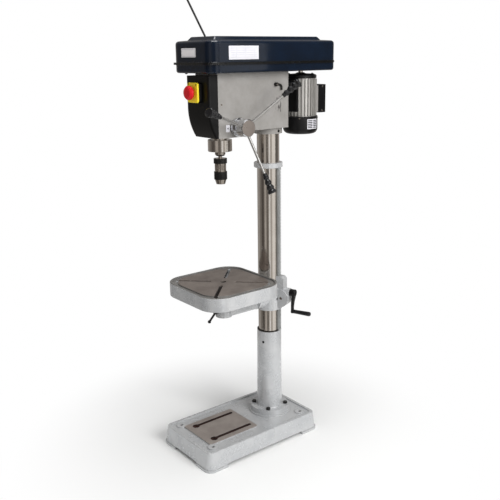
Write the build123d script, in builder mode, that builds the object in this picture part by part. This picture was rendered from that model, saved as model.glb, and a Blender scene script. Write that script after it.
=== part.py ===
from build123d import *
import os
from math import cos, pi, radians, sin, sqrt, tan

# Floor-standing pillar drill with a belt-driven head, a geared table and a cast base.
# Millimetres. Origin on the floor at the centre of the four floor-bolt holes, +Z up,
# -Y towards the operator, +X on the side of the feed levers.

# Clearances
RUN = 0.05  # radial play of a shaft, slide or hinge pin
SEAT = 0.1  # radial play of a fixed seat
FREE = 0.3  # gap between faces that pass each other

# Vertical axes, front to back
SPINDLE_Y = -82.0
IDLER_Y = 128.0
COLUMN_Y = 160.0
MOTOR_Y = 336.0

# Base casting
BASE_W = 320.0
BASE_L = 571.0
BASE_H = 80.0
BASE_SPLAY = 10.0
BASE_CORNER = 20.0
BASE_WALL = 12.0
BASE_TOP = 16.0
BASE_EDGE = 3.0
FOOT_LIP = 3.0
FOOT_LIP_H = 10.0
FOOT_RISE = 13.0
FOOT_GAP_FRONT = 157.0
FOOT_GAP_SIDE = 404.0
BORDER = 13.0
CHANNEL = 5.0
PAD_W = 196.0
PAD_FRONT = -236.0
PAD_BACK = 12.0
PAD_CORNER = 10.0
BASE_SLOT_X = 66.0
BASE_SLOT_W = 16.0
BASE_SLOT_FRONT = -202.0
BASE_SLOT_BACK = -2.0
BASE_SLOT_EYE = 30.0
FLOOR_BOLT_X = 116.0
FLOOR_BOLT_Y = 236.0
FLOOR_BOLT_D = 14.0
FLOOR_BOSS_D = 44.0

# Pedestal
PEDESTAL_TOP = 460.0
PEDESTAL_R = 52.0
PEDESTAL_FOOT_R = 55.0
PEDESTAL_FLANGE_R = 83.0
PEDESTAL_FLANGE_T = 22.0
FLANGE_EDGE = 2.0
PEDESTAL_FILLET = 3.0
PEDESTAL_SEAT_R = 92.0
PEDESTAL_BOLT_R = 69.5
PEDESTAL_BOLT_D = 10.0
PEDESTAL_BOLT_AF = 17.0
PEDESTAL_BOLT_HEAD = 8.0
PEDESTAL_BOLT_L = 52.0

# Column, rack and ring
COLUMN_R = 46.0
COLUMN_WALL = 6.0
COLUMN_TOP = 1515.0
MODULE = 2.0
PITCH = pi * MODULE
RACK_ANGLE = 22.0
RACK_W = 20.0
RACK_T = 8.3
RACK_TONGUE_T = 2.5
RACK_TONGUE_W = 12.0
RACK_TONGUE_L = 8.0
RACK_CHAMFER = 4.0
RACK_GAP = 0.2
RING_Z = 1166.0
RING_H = 20.0
RING_R = 59.0
RING_EDGE = 1.5
GROOVE_DEPTH = 10.0

# Table drive
WORM_RISE = 26.0
WORM_R = 10.0
WORM_SHAFT_R = 7.0
WORM_L = 25.0
GEAR_TEETH = 16
GEAR_W = 13.0
GEAR_JOURNAL_R = 6.0
GEAR_JOURNAL_INSET = 1.0
CRANK_R = 83.0
CRANK_HUB_R = 14.0
CRANK_HUB_L = 22.0
CRANK_HUB_CAP = 4.0
CRANK_EDGE = 2.0
CRANK_ARM_T = 11.0
CRANK_ARM_W = 17.0
CRANK_PIN_R = 5.0
HANDLE_R = 9.5
HANDLE_L = 74.0
HANDLE_CAP = 5.0
HANDLE_EDGE = 3.0

# Table bracket
SLEEVE_R = 58.0
SLEEVE_BELOW = 54.0
SLEEVE_H = 97.0
HOUSING_R = 39.0
HOUSING_W = 48.0
HOUSING_SHIFT = 6.0
GUIDE_W = 34.0
GUIDE_REACH = 78.0
GUIDE_RISE = 50.0
GUIDE_SINK = 4.0
GUIDE_CHAMFER = 10.0
WORM_BOSS_R = 18.0
WORM_BOSS_END = 102.0
TILT_Y = 92.0
TILT_R = 46.0
TILT_BOLT_R = 8.0
TILT_BOLT_AF = 24.0
TILT_BOLT_HEAD = 12.0
TILT_BOLT_WALL = 10.0
SPANNER_ROOM = 6.0
CLAMP_SLIT = 3.0
CLAMP_EAR_T = 14.0
CLAMP_EAR_H = 36.0
CLAMP_X = 72.0
CLAMP_DROP = 6.0
CLAMP_BOLT_R = 5.0
CLAMP_HUB_R = 9.0
CLAMP_HUB_L = 14.0
CLAMP_LEVER_L = 85.0
CLAMP_LEVER_WAY = (-0.86, 0, -0.51)
CLAMP_ROD_R = 4.5
CLAMP_BALL_R = 8.5

# Table arm and table
ARM_W = 58.0
ARM_H = 76.0
ARM_DROP = 16.0
ARM_EDGE = 8.0
ARM_BOSS_R = 34.0
ARM_FLANGE_T = 16.0
STEM_R = 24.0
STEM_BORE_R = 13.0
STEM_INSET = 2.0
TABLE_W = 360.0
TABLE_TOP = 721.0
TABLE_SKIRT = 55.0
TABLE_PLATE = 18.0
TABLE_WALL = 12.0
TABLE_CORNER = 44.0
TABLE_BOSS_R = 42.0
TABLE_RIB_T = 10.0
TABLE_RIB_H = 30.0
TROUGH_EDGE = 9.0
TROUGH_W = 14.0
TROUGH_DEPTH = 5.0
TABLE_SLOT_W = 15.0
TABLE_SLOT_START = 48.0
TABLE_SLOT_END = 196.0
TABLE_SCREW_RISE = 24.0
TABLE_SCREW_R = 5.0
TABLE_SCREW_GAP = 1.0
TABLE_HUB_R = 8.5
TABLE_LEVER_L = 72.0
TABLE_LEVER_WAY = (-0.65, 0, -0.76)
TABLE_BALL_R = 7.0

# Drill head
HEAD_W = 144.0
HEAD_FRONT = -138.0
HEAD_BACK = 210.0
HEAD_TOP = 1538.0
HEAD_LOW = 1308.0
HEAD_HIGH = 1328.0
HEAD_STEP_FRONT = -12.0
HEAD_STEP_BACK = 34.0
HEAD_EDGE = 7.0
COLLAR_R = 57.0
COLLAR_LOW = 1304.0
CAVITY_W = 116.0
CAVITY_FRONT = -16.0
CAVITY_BACK = 94.0
CAVITY_LOW = 1346.0
CAVITY_TOP = 1520.0
PAD_R = 11.0
PAD_X = 48.0
PAD_INSET = 24.0

# Front cover and switch
COVER_FRONT = -180.0
COVER_CURVE_Z = 1420.0
COVER_CHIN_FRONT = -147.0
COVER_WALL = 3.0
COVER_EDGE = 8.0
SWITCH_X = -2.0
SWITCH_W = 66.0
SWITCH_LOW = 1441.0
SWITCH_H = 73.0
SWITCH_T = 12.0
SWITCH_CORNER = 8.0
FLAP_T = 9.0
FLAP_WALL = 3.2
FLAP_EDGE = 2.5
FLAP_PIN_R = 1.5
FLAP_BARREL_R = 3.5
FLAP_BARREL_L = 30.0
FLAP_LUG_W = 6.0
STOP_R = 26.0
STOP_T = 19.0
STOP_STEM_R = 11.0
STOP_STEM_L = 13.0
STOP_TRAVEL = 4.0
STOP_BEVEL_W = 2.0
STOP_BEVEL_H = 3.0
STOP_DOME = ((1.0, 0.55), (0.8, 0.88), (0.35, 1.0))  # shares of the radius and of the thickness
START_R = 8.0
START_TRAVEL = 3.0
START_FLOOR = 2.0
START_EDGE = 1.0

# Quill, spindle and chuck
QUILL_R = 27.0
QUILL_LOW = 1252.0
QUILL_TOP = 1480.0
QUILL_BORE_R = 15.0
QUILL_FLAT = 23.0
QUILL_RACK_LOW = 1322.0
QUILL_RACK_TOP = 1462.0
QUILL_FLAT_RUNOUT = 8.0
NOSE_R = 47.0
NOSE_H = 45.0
NOSE_EDGE = 1.0
BEARING_R = 20.0
BEARING_H = 14.0
BEARING_GAP = 2.0
SPINDLE_R = 12.5
SPINDLE_TOP = 1642.0
SPLINE_R = 10.0
KEY_W = 5.0
KEY_R = 11.5
KEY_START = 4.0
SPINDLE_NOSE_R = 20.5
SPINDLE_NOSE_H = 18.0
SPINDLE_BEVEL_W = 4.0
SPINDLE_BEVEL_H = 6.0
ARBOR_R = 7.5
ARBOR_TAPER_R = 9.0
ARBOR_TAPER_L = 50.0
ARBOR_TAPER = 2.0
ARBOR_SEAT_TAPER = 1.0
ARBOR_SEAT_L = 16.0
CHUCK_TOP = 1224.0
CHUCK_RING_R = 26.0
CHUCK_RING_H = 19.0
CHUCK_BODY_R = 22.3
CHUCK_CORE_R = 20.0
CHUCK_NECK_H = 32.0
CHUCK_SLEEVE_R = 25.5
CHUCK_SLEEVE_H = 31.0
CHUCK_CONE_H = 18.0
CHUCK_TIP_R = 17.5
CHUCK_LAND = 2.0
CHUCK_FLUTES = 18
FLUTE_R = 2.2
FLUTE_OUT = 1.0
FLUTE_INSET = 6.0
CHUCK_KNURLS = 24
KNURL_R = 1.6
KNURL_OUT = 0.6
JAW_R = 3.4
JAW_L = 36.0
JAW_TRAVEL = 20.0
JAW_TILT = 15.0
JAW_GAP = 0.6
JAW_OVER = 1.0
JAW_END_GAP = 2.0
JAW_START_ANGLE = 30.0
JAW_WEDGE = 30.0

# Feed shaft, hub and levers
FEED_Z = 1346.0
PINION_TEETH = 12
PINION_W = 40.0
FEED_SHAFT_R = 14.0
FEED_NECK_R = 10.0
FEED_STUB_R = 8.0
FEED_STUB_OVER = 4.0
DEPTH_RING_R = 36.0
DEPTH_RING_W = 15.0
HUB_R = 33.0
HUB_END = 140.0
HUB_WAIST_R = 29.0
HUB_WAIST_L = 12.0
HUB_RISE = 4.0
HUB_EDGE = 3.0
HUB_CAP = 6.0
LEVER_X = 118.0
LEVER_R = 5.2
LEVER_TILT = 21.6
LEVER_START_ANGLE = 41.9
LEVER_SOCKET = 17.0
LEVER_L = 212.0
GRIP_START = 184.0
GRIP_END = 265.0
GRIP_NECK_R = 8.5
GRIP_END_R = 17.5
GRIP_RIBS = 5
GRIP_RIB_START = 5.0
GRIP_RIB_DEPTH = 1.2
GRIP_RIB_RISE = 0.45
GRIP_RIBBED = 0.62
GRIP_FLARE = ((0.62, 0.74), (1.0, 0.94))  # shares of the end radius and of the length
GRIP_EDGE = 2.5
SPRING_CUP_R = 40.0
SPRING_CUP_L = 36.0
SPRING_CUP_WALL = 3.0
SPRING_CUP_EDGE = 4.0
SPRING_T = 1.0
SPRING_W = 22.0
SPRING_TURNS = 5

# Belt drive
STEP_H = 18.0
STEP_RADII = (60.0, 50.0, 40.0, 30.0)
PULLEY_LOW = 1560.0
GROOVE_W = 13.0
GROOVE_FLOOR_W = 6.0
GROOVE_D = 10.0
BELT_OUT = 1.0
BELT_T = 8.0
BELT_PLAY = 0.3
FRONT_BELT_INDEX = 1
REAR_BELT_INDEX = 3
SLEEVE_SHAFT_R = 15.0
SLEEVE_TOP_R = 13.0
SLEEVE_SHAFT_LOW = 1503.0
TOP_BEARING_R = 23.0
TOP_BEARING_H = 14.0
POST_R = 10.0
POST_FLANGE_R = 16.0
POST_DEPTH = 16.0
POST_OVER = 4.0

# Belt guard
GUARD_W = 243.0
GUARD_FRONT = -189.0
GUARD_BACK = 401.5
GUARD_CORNER = 38.0
GUARD_WALL = 2.5
TRAY_EDGE = 5.0
TRAY_LOW = 1547.0
RIM_Z = 1581.0
RIM = 9.4
RIM_T = 4.0
LID_EDGE = 1662.0
LID_TOP = 1690.0
LID_INSET = 33.6
LID_ROUND = 10.0
HINGE_OUT = 6.5
HINGE_R = 5.0
HINGE_PIN_R = 2.5
HINGE_X = 70.0
HINGE_KNUCKLE = 12.0
HINGE_PIN_OVER = 1.0
SHAFT_HOLE_R = 24.0

# Motor
FRAME_R = 62.0
FIN_R = 68.0
FIN_COUNT = 30
FIN_T = 3.0
FIN_INSET = 3.0
FIN_SINK = 1.0
STATOR_R = 40.0
FRAME_LOW = 1362.0
FRAME_TOP = 1515.0
FRAME_FLOOR = 10.0
END_CAP_R = 66.0
END_CAP_TOP = 1538.0
END_CAP_BOSS_R = 14.0
END_CAP_SIDE = 12.0
END_CAP_SHOULDER = (10.0, 17.0)
END_CAP_CROWN = (8.0, 19.0)
FAN_COVER_R = 72.0
FAN_COVER_LOW = 1290.0
FAN_COVER_WALL = 2.5
FAN_COVER_ROUND = 22.0
FAN_COVER_LIP = 8.0
FAN_COVER_LIP_T = 2.0
VENT_RADII = (14.0, 26.0, 38.0)
VENT_COUNT = 8
VENT_SHARE = 0.62
VENT_W = 5.0
ROTOR_R = 39.0
ROTOR_LOW_GAP = 12.0
ROTOR_TOP_GAP = 15.0
MOTOR_SHAFT_OVER = 2.0
MOTOR_SHAFT_R = 9.5
FAN_R = 60.0
FAN_BLADES = 7
FAN_BLADE_T = 3.0
FAN_BLADE_H = 24.0
FAN_INSET = 2.0
FAN_DISC_T = 3.0
FAN_DISC_Z = 1312.0
MOTOR_TRAVEL = 25.0
PLATE_Y = 256.0
PLATE_T = 10.0
PLATE_W = 132.0
PLATE_LOW = 1384.0
PLATE_TOP = 1515.0
PLATE_CORNER = 8.0
MOTOR_FOOT_W = 92.0
MOTOR_FOOT_INSET = 12.0
MOTOR_FOOT_SINK = 12.0
BAR_R = 8.0
BAR_X = 58.0
BAR_Z = 1498.0
BAR_FRONT = 118.0
BOX_W = 80.0
BOX_LOW = 1373.0
BOX_TOP = 1488.0
BOX_BACK = 444.0
BOX_EDGE = 4.0
BOX_WALL = 3.0
BOX_SEAT_INSET = 4.0
BOX_SEAT_SINK = 20.0
LOCK_Y = 139.0
LOCK_SCREW_R = 4.0
LOCK_HUB_R = 7.0
LOCK_HUB_L = 12.0
LOCK_LEVER_L = 36.0
LOCK_LEVER_WAY = (0, 0.747, -0.664)
LOCK_ROD_R = 3.6
LOCK_BALL_R = 5.5

# Mains cord: gland on the head's left side, then up to an overhead hanger
CORD_R = 4.0
GLAND_R = 10.0
GLAND_TIP_R = 5.5
GLAND_NUT_L = 14.0
GLAND_STEP = 2.5
CORD_ROUTE = [
    (-107.0, 119.0, 1440.5),
    (-132.0, 119.0, 1440.5),
    (-153.5, 112.5, 1451.5),
    (-166.0, 101.5, 1470.0),
    (-166.0, -110.5, 1835.5),
]
CORD_BEND_SHARE = 0.45
HANGER_GRIP = 1.5
HANGER_R = 8.0
HANGER_L = 42.0
HANGER_EYE_R = 9.0
HANGER_WIRE_R = 2.5

# Values that follow from the ones above
FEED_Y = SPINDLE_Y + QUILL_FLAT - MODULE + PINION_TEETH * MODULE / 2
ARM_TOP = TABLE_TOP - TABLE_SKIRT - ARM_DROP
ARM_LOW = ARM_TOP - ARM_H
TILT_Z = (ARM_LOW + ARM_TOP) / 2
TABLE_SCREW_Z = ARM_LOW + TABLE_SCREW_RISE
SLEEVE_LOW = TILT_Z - SLEEVE_BELOW
SLEEVE_TOP = SLEEVE_LOW + SLEEVE_H
HOUSING_TOP = SLEEVE_TOP + GUIDE_RISE
WORM_Z = TILT_Z + WORM_RISE
CLAMP_Z = TILT_Z - CLAMP_DROP
RACK_BACK = COLUMN_R + RACK_GAP
RACK_TIP = RACK_BACK + RACK_T
GEAR_PITCH_R = GEAR_TEETH * MODULE / 2
GEAR_X = RACK_TIP - MODULE + GEAR_PITCH_R
GEAR_Z = WORM_Z - WORM_R - GEAR_PITCH_R
HEAD_SIDE = HEAD_W / 2
CHUCK_NECK_LOW = CHUCK_TOP - CHUCK_RING_H - CHUCK_NECK_H
CHUCK_SLEEVE_LOW = CHUCK_NECK_LOW - CHUCK_SLEEVE_H
CHUCK_LOW = CHUCK_SLEEVE_LOW - CHUCK_CONE_H
SPINDLE_LOW = QUILL_LOW - SPINDLE_NOSE_H
PULLEY_H = STEP_H * len(STEP_RADII)
GUARD_Y = (GUARD_FRONT + GUARD_BACK) / 2
GUARD_L = GUARD_BACK - GUARD_FRONT
HINGE_Y = GUARD_BACK + RIM + HINGE_OUT
SWITCH_FACE = COVER_FRONT - SWITCH_T
FLAP_BACK = SWITCH_FACE - FREE
FLAP_FACE = FLAP_BACK - FLAP_T
SWITCH_Z = SWITCH_LOW + SWITCH_H / 2
FLAP_HINGE_Z = SWITCH_LOW + SWITCH_H - FLAP_BARREL_R
FLAP_HINGE_Y = FLAP_BACK - FLAP_T / 2

# Tooth proportions, thinned for backlash
TOOTH_TIP_W = 0.16 * PITCH
TOOTH_ROOT_W = 0.55 * PITCH
SPACE_MOUTH_W = 0.74 * PITCH
SPACE_FLOOR_W = 0.24 * PITCH
ADDENDUM = MODULE
DEDENDUM = 1.25 * MODULE
THREAD_ROOT_W = 0.48 * PITCH
THREAD_TIP_W = 0.18 * PITCH
THREAD_SINK = 0.3 * MODULE
THREAD_TURNS = 2.5

# Axes and planes
SPINDLE_AXIS = Axis((0, SPINDLE_Y, 0), (0, 0, 1))
IDLER_AXIS = Axis((0, IDLER_Y, 0), (0, 0, 1))
COLUMN_AXIS = Axis((0, COLUMN_Y, 0), (0, 0, 1))
MOTOR_AXIS = Axis((0, MOTOR_Y, 0), (0, 0, 1))
FEED_AXIS = Axis((0, FEED_Y, FEED_Z), (1, 0, 0))
FEED_PLANE = Plane(origin=(0, FEED_Y, FEED_Z), x_dir=(1, 0, 0), z_dir=(0, -1, 0))
OUTWARD = Vector(cos(radians(RACK_ANGLE)), sin(radians(RACK_ANGLE)), 0)
ALONG = Vector(-sin(radians(RACK_ANGLE)), cos(radians(RACK_ANGLE)), 0)


def upright(y):
    """The plane through the vertical axis at this y: local x to the right, local y up."""
    return Plane(origin=(0, y, 0), x_dir=(1, 0, 0), z_dir=(0, -1, 0))


def drive_plane(out, z):
    """A plane square to the lift gear's axis, at this distance out from the column's axis."""
    origin = Vector(0, COLUMN_Y, z) + OUTWARD * out
    return Plane(origin=origin, x_dir=OUTWARD, z_dir=-ALONG)


def radial_plane(out, z):
    """A plane square to the crank's axis, at this distance out from the column's axis."""
    origin = Vector(0, COLUMN_Y, z) + OUTWARD * out
    return Plane(origin=origin, x_dir=ALONG, z_dir=OUTWARD)


def across(x, y, z):
    """A plane facing +X at this point: local x points back, local y up."""
    return Plane(origin=(x, y, z), x_dir=(0, 1, 0), z_dir=(1, 0, 0))


def level(y, z):
    """A level plane centred over this y at this height."""
    return Plane(origin=(0, y, z), x_dir=(1, 0, 0), z_dir=(0, 0, 1))


def facing_front(x, y, z):
    """A plane facing -Y at this point: local x to the right, local y up."""
    return Plane(origin=(x, y, z), x_dir=(1, 0, 0), z_dir=(0, -1, 0))


def lathe(profile, plane, axis, mode=Mode.ADD):
    """Turn a closed outline of (radius, height) points about an axis."""
    with BuildSketch(plane) as section:
        with BuildLine():
            Polyline(*profile, close=True)
        make_face()
    revolve(section.sketch, axis=axis, mode=mode)


def rod(plane, radius, length, mode=Mode.ADD):
    """A round bar from a plane along its normal."""
    with BuildSketch(plane) as section:
        Circle(radius)
    extrude(section.sketch, amount=length, mode=mode)


def ring(plane, outer, inner, length, mode=Mode.ADD):
    """A plain ring from a plane along its normal."""
    with BuildSketch(plane) as section:
        Circle(outer)
        Circle(inner, mode=Mode.SUBTRACT)
    extrude(section.sketch, amount=length, mode=mode)


def slab(plane, width, height, depth, corner=0.0, mode=Mode.ADD):
    """A block from a plane along its normal, with rounded corners if asked for."""
    with BuildSketch(plane) as section:
        if corner > 0:
            RectangleRounded(width, height, corner)
        else:
            Rectangle(width, height)
    extrude(section.sketch, amount=depth, mode=mode)


def gear_teeth(plane, count, root_r, tip_r, width, phase):
    """Straight-sided gear teeth round a plane's normal, sunk a little into the root circle."""
    sink = 1.0
    with BuildSketch(plane) as teeth:
        with PolarLocations(0, count, start_angle=phase):
            Polygon(
                (root_r - sink, -TOOTH_ROOT_W / 2),
                (root_r, -TOOTH_ROOT_W / 2),
                (tip_r, -TOOTH_TIP_W / 2),
                (tip_r, TOOTH_TIP_W / 2),
                (root_r, TOOTH_ROOT_W / 2),
                (root_r - sink, TOOTH_ROOT_W / 2),
                align=None,
            )
    extrude(teeth.sketch, amount=width)


def tooth_spaces(plane, count, depth):
    """A column of rack-tooth spaces, one of them centred on the plane's origin."""
    with BuildSketch(plane) as spaces:
        with GridLocations(0, PITCH, 1, count):
            Polygon(
                (0, -SPACE_MOUTH_W / 2),
                (0, SPACE_MOUTH_W / 2),
                (-ADDENDUM - DEDENDUM, SPACE_FLOOR_W / 2),
                (-ADDENDUM - DEDENDUM, -SPACE_FLOOR_W / 2),
                align=None,
            )
    extrude(spaces.sketch, amount=depth, both=True, mode=Mode.SUBTRACT)


def lever_plane(index):
    """The plane at the root of one feed lever, with the lever along its normal."""
    angle = radians(LEVER_START_ANGLE + index * 120)
    tilt = radians(LEVER_TILT)
    along = Vector(sin(tilt), cos(tilt) * cos(angle), cos(tilt) * sin(angle))
    side = Vector(0, -sin(angle), cos(angle))
    return Plane(origin=(LEVER_X, FEED_Y, FEED_Z), x_dir=side, z_dir=along)


def ball_lever(root, way, radius, length, ball_r):
    """A round lever that starts at a point, runs along a direction and ends in a ball."""
    lie = Plane(origin=root, z_dir=way)
    section_plane = Plane(origin=root, x_dir=lie.x_dir, z_dir=lie.x_dir.cross(lie.z_dir))
    neck = length - sqrt(ball_r**2 - radius**2)
    with BuildSketch(section_plane) as section:
        with BuildLine():
            Polyline((0, length + ball_r), (0, 0), (radius, 0), (radius, neck))
            ThreePointArc((radius, neck), (ball_r, length), (0, length + ball_r))
        make_face()
    revolve(section.sketch, axis=Axis(root, way))


def guard_outline(plane, grow):
    """The guard's plan outline, grown outwards by this much."""
    with BuildSketch(plane) as outline:
        RectangleRounded(GUARD_W + 2 * grow, GUARD_L + 2 * grow, GUARD_CORNER + grow)
    return outline.sketch


# Base casting: splayed skirt on four feet, channel, machined pad and slots
with BuildPart() as base_casting:
    with BuildSketch():
        RectangleRounded(BASE_W + 2 * BASE_SPLAY, BASE_L + 2 * BASE_SPLAY, BASE_CORNER + BASE_SPLAY)
    with BuildSketch(Plane.XY.offset(BASE_H)):
        RectangleRounded(BASE_W, BASE_L, BASE_CORNER)
    loft()
    fillet(base_casting.faces().sort_by(Axis.Z)[-1].edges(), BASE_EDGE)
    lip_out = BASE_SPLAY + FOOT_LIP
    with BuildSketch():
        RectangleRounded(BASE_W + 2 * lip_out, BASE_L + 2 * lip_out, BASE_CORNER + lip_out)
    extrude(amount=FOOT_LIP_H)
    inner_w = BASE_W - 2 * BASE_WALL
    inner_l = BASE_L - 2 * BASE_WALL
    with BuildSketch():
        RectangleRounded(inner_w + 2 * BASE_SPLAY, inner_l + 2 * BASE_SPLAY, BASE_CORNER)
    with BuildSketch(Plane.XY.offset(BASE_H - BASE_TOP)):
        RectangleRounded(inner_w, inner_l, BASE_CORNER / 2)
    loft(mode=Mode.SUBTRACT)
    with BuildSketch():
        Rectangle(FOOT_GAP_FRONT, 2 * BASE_L)
        Rectangle(2 * BASE_W, FOOT_GAP_SIDE)
    extrude(amount=FOOT_RISE, mode=Mode.SUBTRACT)
    with BuildSketch():
        with GridLocations(2 * FLOOR_BOLT_X, 2 * FLOOR_BOLT_Y, 2, 2):
            Circle(FLOOR_BOSS_D / 2)
    extrude(amount=BASE_H - CHANNEL)
    with BuildSketch(Plane.XY.offset(BASE_H)):
        RectangleRounded(BASE_W - 2 * BORDER, BASE_L - 2 * BORDER, BASE_CORNER - BORDER / 2)
        with Locations((0, (PAD_FRONT + PAD_BACK) / 2)):
            RectangleRounded(PAD_W, PAD_BACK - PAD_FRONT, PAD_CORNER, mode=Mode.SUBTRACT)
        with Locations((0, COLUMN_Y)):
            Circle(PEDESTAL_SEAT_R, mode=Mode.SUBTRACT)
        with GridLocations(2 * FLOOR_BOLT_X, 2 * FLOOR_BOLT_Y, 2, 2):
            Circle(FLOOR_BOSS_D / 2, mode=Mode.SUBTRACT)
    extrude(amount=-CHANNEL, mode=Mode.SUBTRACT)
    with BuildSketch(Plane.XY.offset(BASE_H)):
        with GridLocations(2 * FLOOR_BOLT_X, 2 * FLOOR_BOLT_Y, 2, 2):
            Circle(FLOOR_BOLT_D / 2)
        with Locations((0, (BASE_SLOT_FRONT + BASE_SLOT_BACK) / 2)):
            with GridLocations(2 * BASE_SLOT_X, 0, 2, 1):
                SlotOverall(BASE_SLOT_BACK - BASE_SLOT_FRONT, BASE_SLOT_W, rotation=90)
        with Locations((0, BASE_SLOT_FRONT + BASE_SLOT_EYE / 4)):
            with GridLocations(2 * BASE_SLOT_X, 0, 2, 1):
                Circle(BASE_SLOT_EYE / 2)
        with Locations((0, COLUMN_Y)):
            with PolarLocations(PEDESTAL_BOLT_R, 4, start_angle=45):
                Circle(PEDESTAL_BOLT_D / 2 + FREE)
    extrude(amount=-BASE_H, mode=Mode.SUBTRACT)

# Pedestal: flange and tapered socket for the column, with a groove for the rack's foot
with BuildPart() as pedestal:
    flange_top = BASE_H + PEDESTAL_FLANGE_T
    bore = COLUMN_R + SEAT
    groove = sqrt((RACK_BACK + RACK_TONGUE_T) ** 2 + (RACK_TONGUE_W / 2) ** 2) + FREE
    lathe(
        [
            (bore, BASE_H),
            (PEDESTAL_FLANGE_R, BASE_H),
            (PEDESTAL_FLANGE_R, flange_top),
            (PEDESTAL_FOOT_R + PEDESTAL_FILLET, flange_top),
            (PEDESTAL_FOOT_R, flange_top + PEDESTAL_FILLET),
            (PEDESTAL_R, PEDESTAL_TOP),
            (groove, PEDESTAL_TOP),
            (groove, PEDESTAL_TOP - GROOVE_DEPTH),
            (bore, PEDESTAL_TOP - GROOVE_DEPTH),
        ],
        upright(COLUMN_Y),
        COLUMN_AXIS,
    )
    with BuildSketch(level(COLUMN_Y, flange_top)):
        with PolarLocations(PEDESTAL_BOLT_R, 4, start_angle=45):
            Circle(PEDESTAL_BOLT_D / 2 + FREE)
    extrude(amount=-PEDESTAL_FLANGE_T, mode=Mode.SUBTRACT)
    flange_circles = pedestal.edges().filter_by(GeomType.CIRCLE).group_by(Axis.Z)[2]
    fillet(flange_circles.sort_by(SortBy.RADIUS)[-1], FLANGE_EDGE)

with BuildPart() as pedestal_bolts:
    with BuildSketch(level(COLUMN_Y, flange_top)):
        with PolarLocations(PEDESTAL_BOLT_R, 4, start_angle=45):
            RegularPolygon(PEDESTAL_BOLT_AF / 2, 6, major_radius=False)
    extrude(amount=PEDESTAL_BOLT_HEAD)
    with BuildSketch(level(COLUMN_Y, flange_top)):
        with PolarLocations(PEDESTAL_BOLT_R, 4, start_angle=45):
            Circle(PEDESTAL_BOLT_D / 2)
    extrude(amount=-PEDESTAL_BOLT_L)

# Column: steel tube from the base's seat up into the head
with BuildPart() as column:
    ring(level(COLUMN_Y, BASE_H), COLUMN_R, COLUMN_R - COLUMN_WALL, COLUMN_TOP - BASE_H)

# Rack ring: holds the rack's top tongue against the column
with BuildPart() as rack_ring:
    lathe(
        [
            (bore, RING_Z + GROOVE_DEPTH),
            (groove, RING_Z + GROOVE_DEPTH),
            (groove, RING_Z),
            (RING_R, RING_Z),
            (RING_R, RING_Z + RING_H),
            (bore, RING_Z + RING_H),
        ],
        upright(COLUMN_Y),
        COLUMN_AXIS,
    )
    chamfer(rack_ring.edges().filter_by(GeomType.CIRCLE).sort_by(SortBy.RADIUS)[-2:], RING_EDGE)

# Rack: toothed bar with a tongue at each end, free to swing round the column
with BuildPart() as rack:
    rack_low = PEDESTAL_TOP + FREE
    rack_top = RING_Z - FREE
    tongue_l = RACK_TONGUE_L + FREE
    with BuildSketch(drive_plane(0, 0)):
        with BuildLine():
            Polyline(
                (RACK_BACK, rack_low),
                (RACK_TIP, rack_low),
                (RACK_TIP, rack_top - RACK_CHAMFER),
                (RACK_TIP - RACK_CHAMFER, rack_top),
                (RACK_BACK, rack_top),
                close=True,
            )
        make_face()
    extrude(amount=RACK_W / 2, both=True)
    with BuildSketch(drive_plane(RACK_BACK + RACK_TONGUE_T / 2, (rack_low + rack_top) / 2)):
        Rectangle(RACK_TONGUE_T, rack_top - rack_low + 2 * tongue_l)
    extrude(amount=RACK_TONGUE_W / 2, both=True)
    spaces_below = int((GEAR_Z - rack_low) / PITCH) - 1
    spaces_above = int((rack_top - RACK_CHAMFER - GEAR_Z) / PITCH) - 1
    middle = GEAR_Z + (spaces_above - spaces_below) * PITCH / 2
    tooth_spaces(drive_plane(RACK_TIP, middle), spaces_above + spaces_below + 1, RACK_W)

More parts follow.
